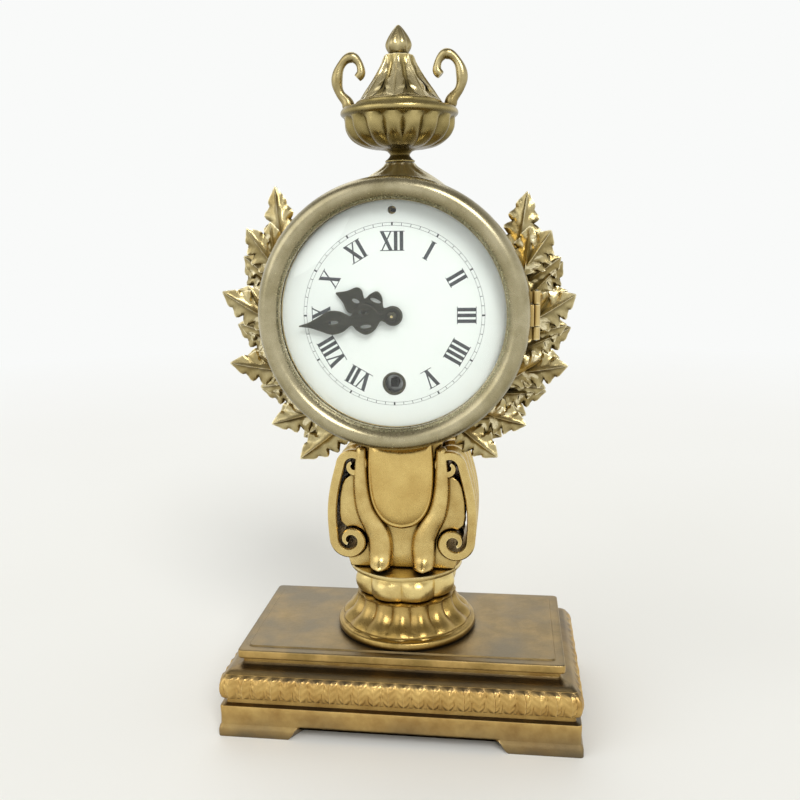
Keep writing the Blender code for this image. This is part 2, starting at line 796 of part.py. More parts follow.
def tie_rod():
    """Long rod that draws the pedestal together: flat head in the drum, nut under the base."""
    head_radius = ROD_RADIUS * 2.2
    head_base = dial_height - inside_drum(head_radius) + GAP
    head = ROD_RADIUS * 0.8
    nut_top = CASTING_HEIGHT - CASTING_ROOF - GAP
    low = nut_top - NUT_HEIGHT - ROD_RADIUS
    profile = [
        (0, low),
        (ROD_RADIUS, low),
        (ROD_RADIUS, head_base),
        (head_radius, head_base),
        (head_radius, head_base + head),
        (0, head_base + head),
    ]
    piece("tie_rod", lathe(profile, BORE_SIDES, closed=False), STEEL)
    nut = piece("tie_rod_nut", prism(circle(NUT_RADIUS, 6), nut_top - NUT_HEIGHT, nut_top), STEEL)
    cut(nut, piece("nut_hole", rod(rod_hole, nut_top - NUT_HEIGHT - OVERRUN, nut_top + OVERRUN, BORE_SIDES)))


def drum_case():
    """Drum shell with a moulded band near each rim and inner seats for movement and cover."""
    inner, wall = drum_inner, DRUM_RADIUS
    band = wall + BAND_RISE
    seat = inner - SEAT_WIDTH
    profile = [
        (wall, DRUM_FRONT),
        (band, DRUM_FRONT - BAND_RISE),
        (band, DRUM_FRONT - BAND_WIDTH),
        (wall, DRUM_FRONT - BAND_WIDTH - BAND_RISE),
        (wall, BAND_WIDTH + BAND_RISE - DRUM_BACK),
        (band, BAND_WIDTH - DRUM_BACK),
        (band, BAND_RISE - DRUM_BACK),
        (wall, -DRUM_BACK),
        (inner, -DRUM_BACK),
        (inner, SEAT_AHEAD - SEAT_THICKNESS),
        (seat, SEAT_AHEAD - SEAT_THICKNESS),
        (seat, SEAT_AHEAD),
        (inner, SEAT_AHEAD),
        (inner, DRUM_FRONT),
    ]
    case = piece("drum_case", lathe(profile, LARGE_STEPS), GILT, on_dial(), UPRIGHT)
    lower = rod(rod_hole, drum_bottom - OVERRUN, drum_bottom + 2 * OVERRUN, BORE_SIDES)
    cut(case, piece("case_rod_hole", lower))
    upper = rod(finial_hole, drum_top - 2 * OVERRUN, drum_top + OVERRUN, BORE_SIDES)
    cut(case, piece("case_finial_hole", moved(upper, y=drum_middle)))


def hinge_place(sign):
    """Axis of a door hinge, on the right of the drum: ahead of the front or behind the back."""
    ahead = DRUM_FRONT - GAP if sign > 0 else GAP - DRUM_BACK
    return bezel_radius + KNUCKLE_RADIUS + 1.5 * GAP, ahead


def upright_rod(radius, half, x, ahead, sides):
    """A round bar standing on a door's hinge line, its middle at the dial's height."""
    return moved(rod(radius, -half, half, sides), x=x, y=-ahead, z=dial_height)


def door_hinge(name, sign, pin_name):
    """Hinge leaf with two knuckles on the drum's side, and the pin through them."""
    x, ahead = hinge_place(sign)
    near = DRUM_RADIUS + BAND_RISE + GAP
    strap = block(near, near + LEAF_THICKNESS, ahead - sign * LEAF_LENGTH, ahead, -HINGE_HALF, HINGE_HALF)
    strap = moved(strap, z=dial_height)
    bmesh.ops.transform(strap, matrix=Matrix.Scale(-1, 4, (0, 1, 0)), verts=strap.verts)
    leaf = piece(name, strap, BRASS)
    for where, low in (("upper", KNUCKLE_HALF + GAP), ("lower", -HINGE_HALF)):
        high = low + HINGE_HALF - KNUCKLE_HALF - GAP
        barrel = moved(rod(KNUCKLE_RADIUS, low, high, BORE_SIDES), x=x, y=-ahead, z=dial_height)
        arm_out = sorted((-ahead, -ahead + sign * KNUCKLE_RADIUS))
        arm = block(near + LEAF_THICKNESS / 2, x, *arm_out, dial_height + low + GAP, dial_height + high - GAP)
        join(leaf, piece(f"{name}_{where}_arm", arm), piece(f"{name}_{where}_knuckle", barrel))
    bore = upright_rod(HINGE_PIN_RADIUS + GAP, HINGE_HALF + OVERRUN, x, ahead, PIN_SIDES)
    cut(leaf, piece(f"{name}_bore", bore))
    piece(pin_name, upright_rod(HINGE_PIN_RADIUS, HINGE_HALF + GAP, x, ahead, PIN_SIDES), STEEL)


def door_knuckle(door, sign, inner_radius, low, high):
    """Join the middle knuckle and its lug to a door, and bore it for the pin."""
    x, ahead = hinge_place(sign)
    half = KNUCKLE_HALF
    lug = block(inner_radius, x, *sorted((-low, -high)), dial_height - half, dial_height + half)
    barrel = upright_rod(KNUCKLE_RADIUS, half, x, ahead, BORE_SIDES)
    bore = upright_rod(HINGE_PIN_RADIUS + GAP, half + OVERRUN, x, ahead, PIN_SIDES)
    join(door, piece(f"{door.name}_lug", lug), piece(f"{door.name}_knuckle", barrel))
    cut(door, piece(f"{door.name}_bore", bore))


def set_origin(target, point):
    """Move an object's origin to a world point and leave its shape where it is."""
    bpy.context.view_layer.update()
    shift = target.matrix_world.inverted() @ Vector(point)
    target.data.transform(Matrix.Translation(-shift))
    target.location = point


def front_bezel():
    """Hinged bezel: polished half-round ring, domed glass and the ring that holds it."""
    r, s, back, depth = bezel_radius, sight_radius, bezel_back, BEZEL_DEPTH
    rebate = glass_radius + GAP
    round_shares = [(0.0, 0.0), (0.0, 0.40), (0.16, 0.80), (0.48, 1.0), (0.80, 0.86), (1.0, 0.52)]
    outer = [(r + (s - r) * a, back + depth * b) for a, b in round_shares]
    shoulder = back + depth * 0.42
    profile = outer + [(s, shoulder), (rebate, shoulder), (rebate, back)]
    bezel = piece("front_bezel", lathe(profile, LARGE_STEPS), GILT, on_dial(), UPRIGHT)
    door_knuckle(bezel, 1, r - OVERRUN, back, back + depth * 0.34)
    x, ahead = hinge_place(1)
    set_origin(bezel, (x, -ahead, dial_height))

    rim_back = shoulder - GAP - GLASS_THICKNESS
    steps = 3
    sight = sight_radius - GAP
    outer_curve, inner_curve = [], []
    for i in range(steps + 1):
        share = i / steps
        rise = GLASS_DOME * (1 - share**2)
        outer_curve.append((sight * share, shoulder - GAP + rise))
        inner_curve.append((sight * share, rim_back + rise))
    rim = [(glass_radius, shoulder - GAP), (glass_radius, rim_back)]
    profile = outer_curve + rim + inner_curve[::-1]
    glass = piece("glass", lathe(profile, MIDDLE_STEPS, closed=False), GLASS, on_dial(), UPRIGHT)
    set_origin(glass, (x, -ahead, dial_height))

    ring_back = back + GAP
    ring = [
        (sight_radius, ring_back),
        (glass_radius, ring_back),
        (glass_radius, rim_back - GAP),
        (sight_radius, rim_back - GAP),
    ]
    holder = piece("glass_ring", lathe(ring, MIDDLE_STEPS), BRASS, on_dial(), UPRIGHT)
    set_origin(holder, (x, -ahead, dial_height))


def rear_cover():
    """Hinged rear cover: shallow pressed dish with a rolled rim and a small knob."""
    r, f, t = DRUM_RADIUS + BAND_RISE, cover_front, COVER_THICKNESS
    dish = r * COVER_DISH_SHARE
    profile = [
        (0, f - COVER_DOME),
        (dish, f),
        (r, f),
        (r, f - t),
        (dish + t, f - t),
        (dish - t, f - t - COVER_DOME),
        (0, f - t - COVER_DOME * 1.3),
    ]
    cover = piece("rear_cover", lathe(profile, MIDDLE_STEPS, closed=False), GILT, on_dial(), UPRIGHT)
    knob_shares = [(0.0, 0.0), (0.46, 0.0), (0.46, 0.38), (1.0, 0.62), (0.77, 0.96), (0.0, 1.0)]
    knob = lathe([(KNOB_RADIUS * a, KNOB_LENGTH * b) for a, b in knob_shares], TINY_STEPS, closed=False)
    knob = moved(turned(knob, "X", -math.pi / 2), x=-r * 0.88, y=-f + t / 2, z=dial_height)
    join(cover, piece("rear_knob", knob))
    door_knuckle(cover, -1, r - OVERRUN, f, f - t)
    x, ahead = hinge_place(-1)
    set_origin(cover, (x, -ahead, dial_height))


def dial_and_pan():
    """Convex enamel dial with its three holes, in a shallow brass pan."""
    front_shares = [(0.0, 1.0), (0.5, 0.75), (1.0, 0.0)]
    profile = [(dial_radius * a, dial_rim + DIAL_DOME * b) for a, b in front_shares]
    profile += [(dial_radius, dial_back), (0, dial_back)]
    dial = piece("dial", lathe(profile, LARGE_STEPS, closed=False), ENAMEL, on_dial(), UPRIGHT)
    low, high = dial_back - OVERRUN, dial_front + OVERRUN
    holes = merged(
        rod(CENTRE_HOLE, low, high, TINY_STEPS),
        moved(rod(WINDING_HOLE, low, high, TINY_STEPS * 2), y=-winding_drop),
        moved(rod(REGULATOR_HOLE, low, high, TINY_STEPS), y=regulator_rise),
    )
    cut(dial, piece("dial_holes", holes, None, on_dial(), UPRIGHT))
    rim = drum_inner - GAP
    lip = dial_radius + GAP
    seat = drum_inner - SEAT_WIDTH * 1.5
    pan = [
        (seat, pan_back),
        (rim, pan_back),
        (rim, dial_rim),
        (lip, dial_rim),
        (lip, pan_back + PAN_THICKNESS),
        (seat, pan_back + PAN_THICKNESS),
    ]
    piece("dial_pan", lathe(pan, MIDDLE_STEPS), BRASS, on_dial(), UPRIGHT)


def crest():
    """Concave cap that carries the urn, hollowed below to the drum's curve."""
    low = dial_height + DRUM_RADIUS * 0.8
    crest_shares = [(1.0, 0.0), (0.97, 0.16), (0.68, 0.38), (0.42, 0.68), (0.28, 1.0)]
    foot = drum_top - CREST_RISE * 0.25
    profile = [(finial_hole, low), (CREST_RADIUS, low)]
    profile += [(CREST_RADIUS * a, foot + (crest_top - foot) * b) for a, b in crest_shares]
    profile += [(finial_hole, crest_top)]
    body = piece("drum_crest", lathe(profile, SMALL_STEPS), DARK_GILT, (0, drum_middle, 0))
    drum = rod(DRUM_RADIUS + GAP, -DRUM_FRONT - OVERRUN, DRUM_BACK + OVERRUN, 2 * LARGE_STEPS)
    cut(body, piece("crest_hollow", drum, None, (0, 0, dial_height), (-math.pi / 2, 0, 0)))


def urn():
    """Urn in three pieces on a rod, with two scrolled handles."""
    r, h = BOWL_RADIUS, BOWL_HEIGHT
    bowl_shares = [
        (0.27, 0.0),
        (0.26, 0.08),
        (0.20, 0.22),
        (0.50, 0.38),
        (0.78, 0.56),
        (0.95, 0.78),
        (1.0, 0.92),
        (0.98, 1.0),
    ]
    profile = [(finial_hole, 0)] + [(r * a, h * b) for a, b in bowl_shares] + [(finial_hole, h)]
    bowl = lobes(lathe(profile, MIDDLE_STEPS), URN_LOBES, 0.12, h * 0.32, h * 0.92)
    piece("urn_bowl", moved(bowl, y=drum_middle, z=bowl_base), GILT)

    r, h = LID_RADIUS, LID_HEIGHT
    lid_shares = [
        (1.0, 0.0),
        (1.0, 0.09),
        (0.88, 0.17),
        (0.74, 0.33),
        (0.58, 0.52),
        (0.45, 0.71),
        (0.36, 0.88),
        (0.34, 1.0),
    ]
    profile = [(finial_hole, 0)] + [(r * a, h * b) for a, b in lid_shares] + [(finial_hole, h)]
    lid = lobes(lathe(profile, SMALL_STEPS), URN_LOBES - 2, 0.14, h * 0.16, h * 0.95)
    piece("urn_lid", moved(lid, y=drum_middle, z=lid_base), GILT)

    r, h = BUD_RADIUS, BUD_HEIGHT
    hole = h * 0.45
    bud_shares = [(0.62, 0.0), (0.94, 0.30), (1.0, 0.52), (0.74, 0.80), (0.0, 1.0)]
    profile = [(0, hole), (finial_hole, hole), (finial_hole, 0)] + [(r * a, h * b) for a, b in bud_shares]
    bud = lobes(lathe(profile, SMALL_STEPS // 2, closed=False), 6, 0.16, h * 0.12, h * 0.95)
    piece("urn_bud", moved(bud, y=drum_middle, z=bud_base), GILT)

    bar, head = FINIAL_ROD_RADIUS, FINIAL_ROD_RADIUS * 2.4
    head_top = dial_height + inside_drum(head) - GAP
    profile = [
        (0, head_top - bar),
        (head, head_top - bar),
        (head, head_top),
        (bar, head_top),
        (bar, bud_base + hole - GAP),
        (0, bud_base + hole - GAP),
    ]
    piece("finial_rod", moved(lathe(profile, BORE_SIDES, closed=False), y=drum_middle), STEEL)

    foot_x = (BOWL_RADIUS + LID_RADIUS) / 2
    curl_shares = [
        (0.00, 0.00),
        (0.10, 0.14),
        (0.50, 0.32),
        (0.66, 0.54),
        (0.52, 0.78),
        (0.14, 0.96),
        (-0.30, 1.00),
        (-0.64, 0.88),
        (-0.74, 0.70),
        (-0.52, 0.60),
    ]
    width_shares = [1.15, 1.0, 1.0, 1.0, 0.95, 0.9, 0.85, 0.8, 0.8, 1.0]
    out, up = BOWL_RADIUS * 0.30, LID_HEIGHT
    for name, side in (("urn_handle_right", 1), ("urn_handle_left", -1)):
        line = [(side * (foot_x + out * a), lid_base + up * b) for a, b in curl_shares]
        tube(name, line, width_shares)


def tube(name, line, width_shares):
    """A cast handle: a round bar swept along an upright line, thinner towards its curl."""
    rings = []
    sides = 6
    for i, (x, z) in enumerate(line):
        before, after = line[max(i - 1, 0)], line[min(i + 1, len(line) - 1)]
        along = Vector((after[0] - before[0], 0, after[1] - before[1])).normalized()
        if i == 0:
            along = Vector((0, 0, 1))
        across = Vector((0, 1, 0)).cross(along)
        ring = []
        for k in range(sides):
            angle = FULL_TURN * k / sides
            offset = across * math.cos(angle) + Vector((0, 1, 0)) * math.sin(angle)
            ring.append(Vector((x, drum_middle, z)) + offset * HANDLE_RADIUS * width_shares[i])
        rings.append(ring)
    piece(name, loft(rings), GILT)


def leaf(length, breadth, swell, curl):
    """A pointed leaf lying along +x with a raised rib above and below, its tip curling to +y."""
    rings = []
    for i in range(LEAF_STATIONS):
        share = i / (LEAF_STATIONS - 1)
        half = breadth / 2 * max(math.sin(math.pi * share**0.8) ** 0.85, 0.06)
        thick = swell * (1 - 0.75 * share)
        bend = curl * share**2 * length
        wave = length * 0.10 * math.sin(math.pi * share)
        along = length * share
        rings.append(
            [
                (along, bend + half, wave),
                (along, bend, wave + thick / 2 + breadth * 0.06),
                (along, bend - half, wave),
                (along, bend, wave - thick / 2),
            ]
        )
    return loft(rings)


def branch_place(angle, radius):
    return radius * math.cos(angle), radius * math.sin(angle)


def placed_leaf(angle, lean, ahead, tilt, length, breadth, curl):
    """A leaf on the branch: starts at the angle, leans out from the branch's run and tilts forward."""
    shape = leaf(length, breadth, LEAF_SWELL, curl)
    turned(shape, "Y", -tilt)
    turned(shape, "Z", angle + math.pi / 2 - lean)
    x, y = branch_place(angle, branch_radius)
    return moved(shape, x, y, ahead)


def branch_leaves(span):
    """Leaves of one branch: an outer row that leans well out, a row in front, and one at the top."""
    run = BRANCH_HIGH - BRANCH_LOW
    leaves = []
    for i in range(OUTER_LEAVES):
        share = i / (OUTER_LEAVES - 1)
        angle = BRANCH_LOW + run * (0.03 + 0.87 * share)
        length = span * (0.90 + 0.18 * math.sin(math.pi * share))
        ahead = BRANCH_AHEAD - BRANCH_STEM * (0.4 if i % 2 else -0.2)
        tilt = math.radians(-14 if i % 2 else 20)
        leaves.append(placed_leaf(angle, OUTER_LEAN, ahead, tilt, length, LEAF_BREADTH, 0.10))
    length, breadth, ahead = span * 0.82, LEAF_BREADTH * 0.8, BRANCH_AHEAD + BRANCH_STEM * 0.6
    for i in range(FRONT_LEAVES):
        angle = BRANCH_LOW + run * (0.08 + 0.80 * i / (FRONT_LEAVES - 1))
        leaves.append(placed_leaf(angle, FRONT_LEAN, ahead, math.radians(14), length, breadth, 0.20))
    length, breadth, last = span * 1.2, LEAF_BREADTH * 0.9, BRANCH_HIGH - math.radians(3)
    leaves.append(placed_leaf(last, TOP_LEAN, BRANCH_AHEAD, 0, length, breadth, 0.06))
    return leaves


def branches():
    """A spray of leaves up each side of the drum, cast in one with its stem."""
    steps = 8
    rings = []
    for i in range(steps + 1):
        share = i / steps
        angle = BRANCH_LOW + (BRANCH_HIGH - BRANCH_LOW) * share
        thick = BRANCH_STEM * (1 - 0.55 * share)
        ring = []
        for k in range(4):
            around = FULL_TURN * k / 4
            x, y = branch_place(angle, branch_radius + thick * math.cos(around))
            ring.append((x, y, BRANCH_AHEAD + thick * math.sin(around)))
        rings.append(ring)
    stem = loft(rings)
    for name, side, span in (("branch_right", 1, RIGHT_LEAF_SPAN), ("branch_left", -1, LEFT_LEAF_SPAN)):
        stem_copy, leaves = stem.copy(), branch_leaves(span)
        for shape in (stem_copy, *leaves):
            if side < 0:
                bmesh.ops.transform(shape, matrix=MIRRORED, verts=shape.verts)
            bmesh.ops.recalc_face_normals(shape, faces=shape.faces)
        spray = piece(name, stem_copy, GILT, on_dial(), UPRIGHT)
        join(spray, piece(f"{name}_leaves", merged(*leaves), None, on_dial(), UPRIGHT))


def hand_outline(length, shares, hub):
    """A hand pointing along +x: a round hub, then half-widths along its length mirrored about the middle."""
    upper = [(length * a, hub * b) for a, b in shares]
    hub_points = 8
    start = math.atan2(upper[0][1], upper[0][0])
    back = [start + (FULL_TURN - 2 * start) * i / hub_points for i in range(1, hub_points)]
    radius = math.hypot(*upper[0])
    round_hub = [(radius * math.cos(a), radius * math.sin(a)) for a in back]
    return upper[::-1] + round_hub + [(x, -y) for x, y in upper]


def hand(name, length, hub, shares, eye_shares, bore, ahead, angle):
    """A pierced hand: outline, the openings in its scrolls and the hole for its pipe."""
    shape = prism(hand_outline(length, shares, hub), ahead, ahead + HAND_THICKNESS)
    body = piece(name, turned(shape, "Z", angle), BLUED, on_dial(), UPRIGHT)
    low, high = ahead - OVERRUN, ahead + HAND_THICKNESS + OVERRUN
    openings = [rod(bore, low, high, BORE_SIDES)]
    for along_share, side_share, long_share, wide_share in eye_shares:
        for side in (1, -1) if side_share else (1,):
            eye = rod(hub, low, high, PIN_SIDES)
            bmesh.ops.scale(eye, vec=(long_share, wide_share, 1), verts=eye.verts)
            openings.append(moved(eye, length * along_share, side * hub * side_share))
    tool = turned(merged(*openings), "Z", angle)
    cut(body, piece(f"{name}_openings", tool, None, on_dial(), UPRIGHT))


def hands():
    """Bronzed hands in the serpentine taste, with scrolled openings, and the collet that holds them."""
    hour_shares = [
        (0.12, 0.50),
        (0.19, 0.34),
        (0.27, 0.95),
        (0.38, 1.20),
        (0.47, 0.80),
        (0.53, 0.34),
        (0.62, 0.85),
        (0.72, 0.90),
        (0.84, 0.42),
        (1.00, 0.05),
    ]
    eye_shares = [(0.35, 0.48, 0.62, 0.22), (0.65, 0.0, 0.40, 0.26)]
    bore = HOUR_PIPE_RADIUS + GAP / 3
    hand("hour_hand", HOUR_HAND_LENGTH, HOUR_HUB, hour_shares, eye_shares, bore, hour_hand_level, HOUR_ANGLE)
    minute_shares = [
        (0.08, 0.42),
        (0.13, 0.30),
        (0.20, 0.85),
        (0.30, 1.15),
        (0.39, 0.72),
        (0.44, 0.30),
        (0.54, 0.74),
        (0.66, 0.86),
        (0.78, 0.50),
        (0.88, 0.20),
        (1.00, 0.05),
    ]
    eye_shares = [(0.29, 0.50, 0.62, 0.22), (0.63, 0.0, 0.60, 0.24)]
    bore, level = CANNON_RADIUS + GAP / 3, minute_hand_level
    hand("minute_hand", MINUTE_HAND_LENGTH, MINUTE_HUB, minute_shares, eye_shares, bore, level, MINUTE_ANGLE)
    top = level + HAND_THICKNESS
    profile = [
        (CANNON_BORE, top + GAP),
        (CANNON_RADIUS * 1.7, top + GAP),
        (CANNON_RADIUS * 1.5, top + 3 * GAP),
        (CANNON_BORE, top + 4 * GAP),
    ]
    piece("hand_collet", lathe(profile, BORE_SIDES), BRASS, on_dial(), UPRIGHT)


# Places of the arbors, seen from the front, from the middle of the dial
centre_place = (0, 0)
barrel_place = (0, -winding_drop)
inter_place = meeting_point(centre_place, inter_distance, barrel_place, great_distance, 1)
third_distance = (CENTRE_TEETH + CENTRE_LEAVES) * centre_module / 2
third_place = (-third_distance * math.sqrt(0.5), third_distance * math.sqrt(0.5))
fourth_distance = (THIRD_TEETH + THIRD_LEAVES) * third_module / 2
fourth_place = (third_place[0] + fourth_distance / 2, third_place[1] + fourth_distance * math.sqrt(0.75))
escape_distance = (FOURTH_TEETH + FOURTH_LEAVES) * fourth_module / 2
escape_lean = math.radians(10)
escape_place = (
    fourth_place[0] + escape_distance * math.cos(escape_lean),
    fourth_place[1] + escape_distance * math.sin(escape_lean),
)
regulator_place = (0, regulator_rise)
index_distance = (INDEX_TEETH + INDEX_LEAVES) * index_module / 2
balance_place = meeting_point(
    escape_place, ESCAPE_TO_LEVER + LEVER_TO_BALANCE, regulator_place, index_distance, 1
)
lever_share = ESCAPE_TO_LEVER / (ESCAPE_TO_LEVER + LEVER_TO_BALANCE)
lever_place = tuple(e + (b - e) * lever_share for e, b in zip(escape_place, balance_place))
motion_distance = (CANNON_TEETH + MINUTE_TEETH) * MOTION_MODULE / 2
minute_place = (motion_distance * math.sqrt(0.5), -motion_distance * math.sqrt(0.5))


def plates():
    """Front and back plates with their pivot holes, and the three pillars between them."""
    pivots = [inter_place, third_place, fourth_place, escape_place]
    wide = PIVOT_RADIUS + GAP
    pillar_places = [branch_place(angle, pillar_circle) for angle in PILLAR_ANGLES]
    stud = PILLAR_RADIUS / 2
    shared = [(place, wide) for place in pivots] + [(place, stud + GAP) for place in pillar_places]
    shared += [(regulator_place, ARBOR_RADIUS + GAP)]
    shared += [(barrel_place, WINDING_RADIUS + GAP)]
    front = shared + [(centre_place, ARBOR_RADIUS + GAP), (minute_place, wide)]
    back = shared + [(centre_place, wide), (balance_place, wide), (lever_place, wide)]
    for name, radius, low, holes, sides in (
        ("front_plate", front_plate_radius, front_plate_back, front, LARGE_STEPS),
        ("back_plate", back_plate_radius, back_plate_back, back, MIDDLE_STEPS),
    ):
        high = low + PLATE_THICKNESS
        plate = piece(name, prism(circle(radius, sides), low, high), BRASS, on_dial(), UPRIGHT)
        bores = [moved(rod(r, low - OVERRUN, high + OVERRUN, HOLE_SIDES), *place) for place, r in holes]
        cut(plate, piece(f"{name}_holes", merged(*bores), None, on_dial(), UPRIGHT))
    names = ("pillar_upper", "pillar_left", "pillar_lower")
    out = PLATE_THICKNESS + GAP
    for name, place in zip(names, pillar_places):
        profile = [
            (0, back_plate_ahead - out),
            (stud, back_plate_ahead - out),
            (stud, back_plate_ahead + GAP),
            (PILLAR_RADIUS, back_plate_ahead + GAP),
            (PILLAR_RADIUS, front_plate_back - GAP),
            (stud, front_plate_back - GAP),
            (stud, front_plate_back + out - 2 * GAP),
            (0, front_plate_back + out - 2 * GAP),
        ]
        piece(name, lathe(profile, HOLE_SIDES, closed=False), BRASS, on_dial(place), UPRIGHT)


def barrel():
    """Mainspring barrel with its toothed rim, cover, spring and winding arbor."""
    at = on_dial(barrel_place)
    radius = GREAT_TEETH * great_module / 2 - great_module * 1.4
    low, high = barrel_level, barrel_level + BARREL_DEPTH
    core = WINDING_RADIUS
    bore = core + GAP
    floor = low + WHEEL_THICKNESS
    cup = [
        (bore, low),
        (radius, low),
        (radius, high),
        (radius - BARREL_WALL, high),
        (radius - BARREL_WALL, floor),
        (bore, floor),
    ]
    drum = piece("barrel", lathe(cup, SMALL_STEPS), BRASS, at, UPRIGHT)
    to_inter = toward(barrel_place, inter_place)
    teeth = wheel_outline(GREAT_TEETH, great_module, to_inter)
    rim = piece("barrel_teeth", prism(teeth, low + GAP / 3, floor - GAP / 3), None, at, UPRIGHT)
    teeth_bore = rod(bore * 1.3, low - OVERRUN, floor + OVERRUN, BORE_SIDES)
    cut(rim, piece("barrel_teeth_bore", teeth_bore, None, at, UPRIGHT))
    join(drum, rim)
    inside = radius - BARREL_WALL - GAP
    lid = [(bore, high - WHEEL_THICKNESS), (inside, high - WHEEL_THICKNESS), (inside, high), (bore, high)]
    piece("barrel_cover", lathe(lid, SMALL_STEPS), BRASS, at, UPRIGHT)
    steps = TINY_STEPS * SPRING_TURNS
    coil = core * 2 + GAP * 2
    line = []
    for i in range(steps + 1):
        spread = coil + (inside - GAP * 2 - coil) * i / steps
        angle = FULL_TURN * SPRING_TURNS * i / steps
        line.append((spread * math.cos(angle), spread * math.sin(angle)))
    band = ribbon(line, [MAINSPRING_THICKNESS] * len(line))
    spring = prism(band, floor + GAP * 2, high - WHEEL_THICKNESS - GAP * 2)
    piece("mainspring", spring, STEEL, at, UPRIGHT)
    core_low, core_high = floor + GAP, high - WHEEL_THICKNESS - GAP
    shaft = [
        (0, back_plate_back - GAP),
        (core, back_plate_back - GAP),
        (core, core_low),
        (core * 2, core_low),
        (core * 2, core_high),
        (core, core_high),
        (core, dial_back - GAP),
        (0, dial_back - GAP),
    ]
    shaft_piece = piece("winding_arbor", lathe(shaft, BORE_SIDES, closed=False), STEEL, at, UPRIGHT)
    square = circle(core * 1.25, 4, math.pi / 4)
    end = prism(square, dial_back - 3 * GAP, dial_rim - GAP)
    join(shaft_piece, piece("winding_square", end, None, at, UPRIGHT))


def ratchet_work():
    """Ratchet wheel on the winding arbor, with its click and click spring on the front plate."""
    at = on_dial(barrel_place)
    outline = []
    for i in range(RATCHET_TEETH):
        angle = FULL_TURN * i / RATCHET_TEETH
        outline.append((RATCHET_RADIUS * math.cos(angle), RATCHET_RADIUS * math.sin(angle)))
        root, back = RATCHET_RADIUS * 0.86, angle + FULL_TURN / RATCHET_TEETH * 0.06
        outline.append((root * math.cos(back), root * math.sin(back)))
    low = front_plate_ahead + GAP
    high = low + WHEEL_THICKNESS * 1.2
    wheel = piece("ratchet_wheel", prism(outline, low, high), STEEL, at, UPRIGHT)
    bore = rod(WINDING_RADIUS + GAP / 2, low - OVERRUN, high + OVERRUN, BORE_SIDES)
    cut(wheel, piece("ratchet_bore", bore, None, at, UPRIGHT))

    pivot = (barrel_place[0] + RATCHET_RADIUS + CLICK_OFFSET, barrel_place[1] + CLICK_ARM)
    click_shares = [
        (0.19, 0.16),
        (-0.19, 0.19),
        (-0.26, -0.13),
        (-0.355, -0.84),
        (-0.19, -0.73),
        (0.065, -0.23),
        (0.23, -0.13),
    ]
    shape = [(CLICK_ARM * a, CLICK_ARM * b) for a, b in click_shares]
    piece("click", prism(shape, low, high), STEEL, on_dial(pivot), UPRIGHT)
    spring_shares = [
        (0.29, -0.84),
        (0.39, -0.87),
        (0.48, 0.16),
        (0.74, 0.29),
        (0.74, 0.74),
        (0.32, 0.74),
        (0.26, 0.26),
    ]
    spring = [(CLICK_ARM * a, CLICK_ARM * b) for a, b in spring_shares]
    piece("click_spring", prism(spring, low, high), STEEL, on_dial(pivot), UPRIGHT)


def train_wheel(name, place, wheel, level, before, pinion, pinion_level, after, shaft):
    """A wheel riveted on the arbor that carries its own pinion. The wheel drives towards the
    place after, and its pinion is driven from the place before."""
    teeth, module = wheel
    leaves, pinion_module = pinion
    at = on_dial(place)
    rim = prism(wheel_outline(teeth, module, toward(place, after)), level, level + WHEEL_THICKNESS)
    body = piece(name, rim, BRASS, at, UPRIGHT)
    outline = pinion_outline(leaves, pinion_module, gap_phase(toward(before, place), leaves))
    middle = pinion_level + WHEEL_THICKNESS / 2
    head = prism(outline, middle - PINION_LENGTH / 2, middle + PINION_LENGTH / 2)
    pinion_piece = piece(f"{name}_pinion", head, None, at, UPRIGHT)
    join(body, pinion_piece, piece(f"{name}_arbor", shaft, None, at, UPRIGHT))


def train():
    """Going train, from the wheel that the barrel drives to the wheel that drives the escapement."""
    low, high = back_plate_ahead, front_plate_back
    great = (GREAT_LEAVES, great_module)
    shaft = arbor(low, high, ARBOR_RADIUS * 1.3)
    wheel = (INTER_TEETH, inter_module)
    run = (barrel_place, great, barrel_level, centre_place)
    train_wheel("intermediate_wheel", inter_place, wheel, inter_level, *run, shaft)
    pinion = (INTER_LEAVES, inter_module)
    reach = minute_hand_level + HAND_THICKNESS + 4 * GAP - high - PLATE_THICKNESS
    shaft = arbor(low, high, ARBOR_RADIUS, PIVOT_RADIUS, ARBOR_RADIUS * 0.9, reach)
    wheel = (CENTRE_TEETH, centre_module)
    run = (inter_place, pinion, inter_level, third_place)
    train_wheel("centre_wheel", centre_place, wheel, centre_level, *run, shaft)
    pinion = (CENTRE_LEAVES, centre_module)
    wheel, shaft = (THIRD_TEETH, third_module), arbor(low, high)
    run = (centre_place, pinion, centre_level, fourth_place)
    train_wheel("third_wheel", third_place, wheel, third_level, *run, shaft)
    pinion = (THIRD_LEAVES, third_module)
    wheel, shaft = (FOURTH_TEETH, fourth_module), arbor(low, high)
    run = (third_place, pinion, third_level, escape_place)
    train_wheel("fourth_wheel", fourth_place, wheel, fourth_level, *run, shaft)


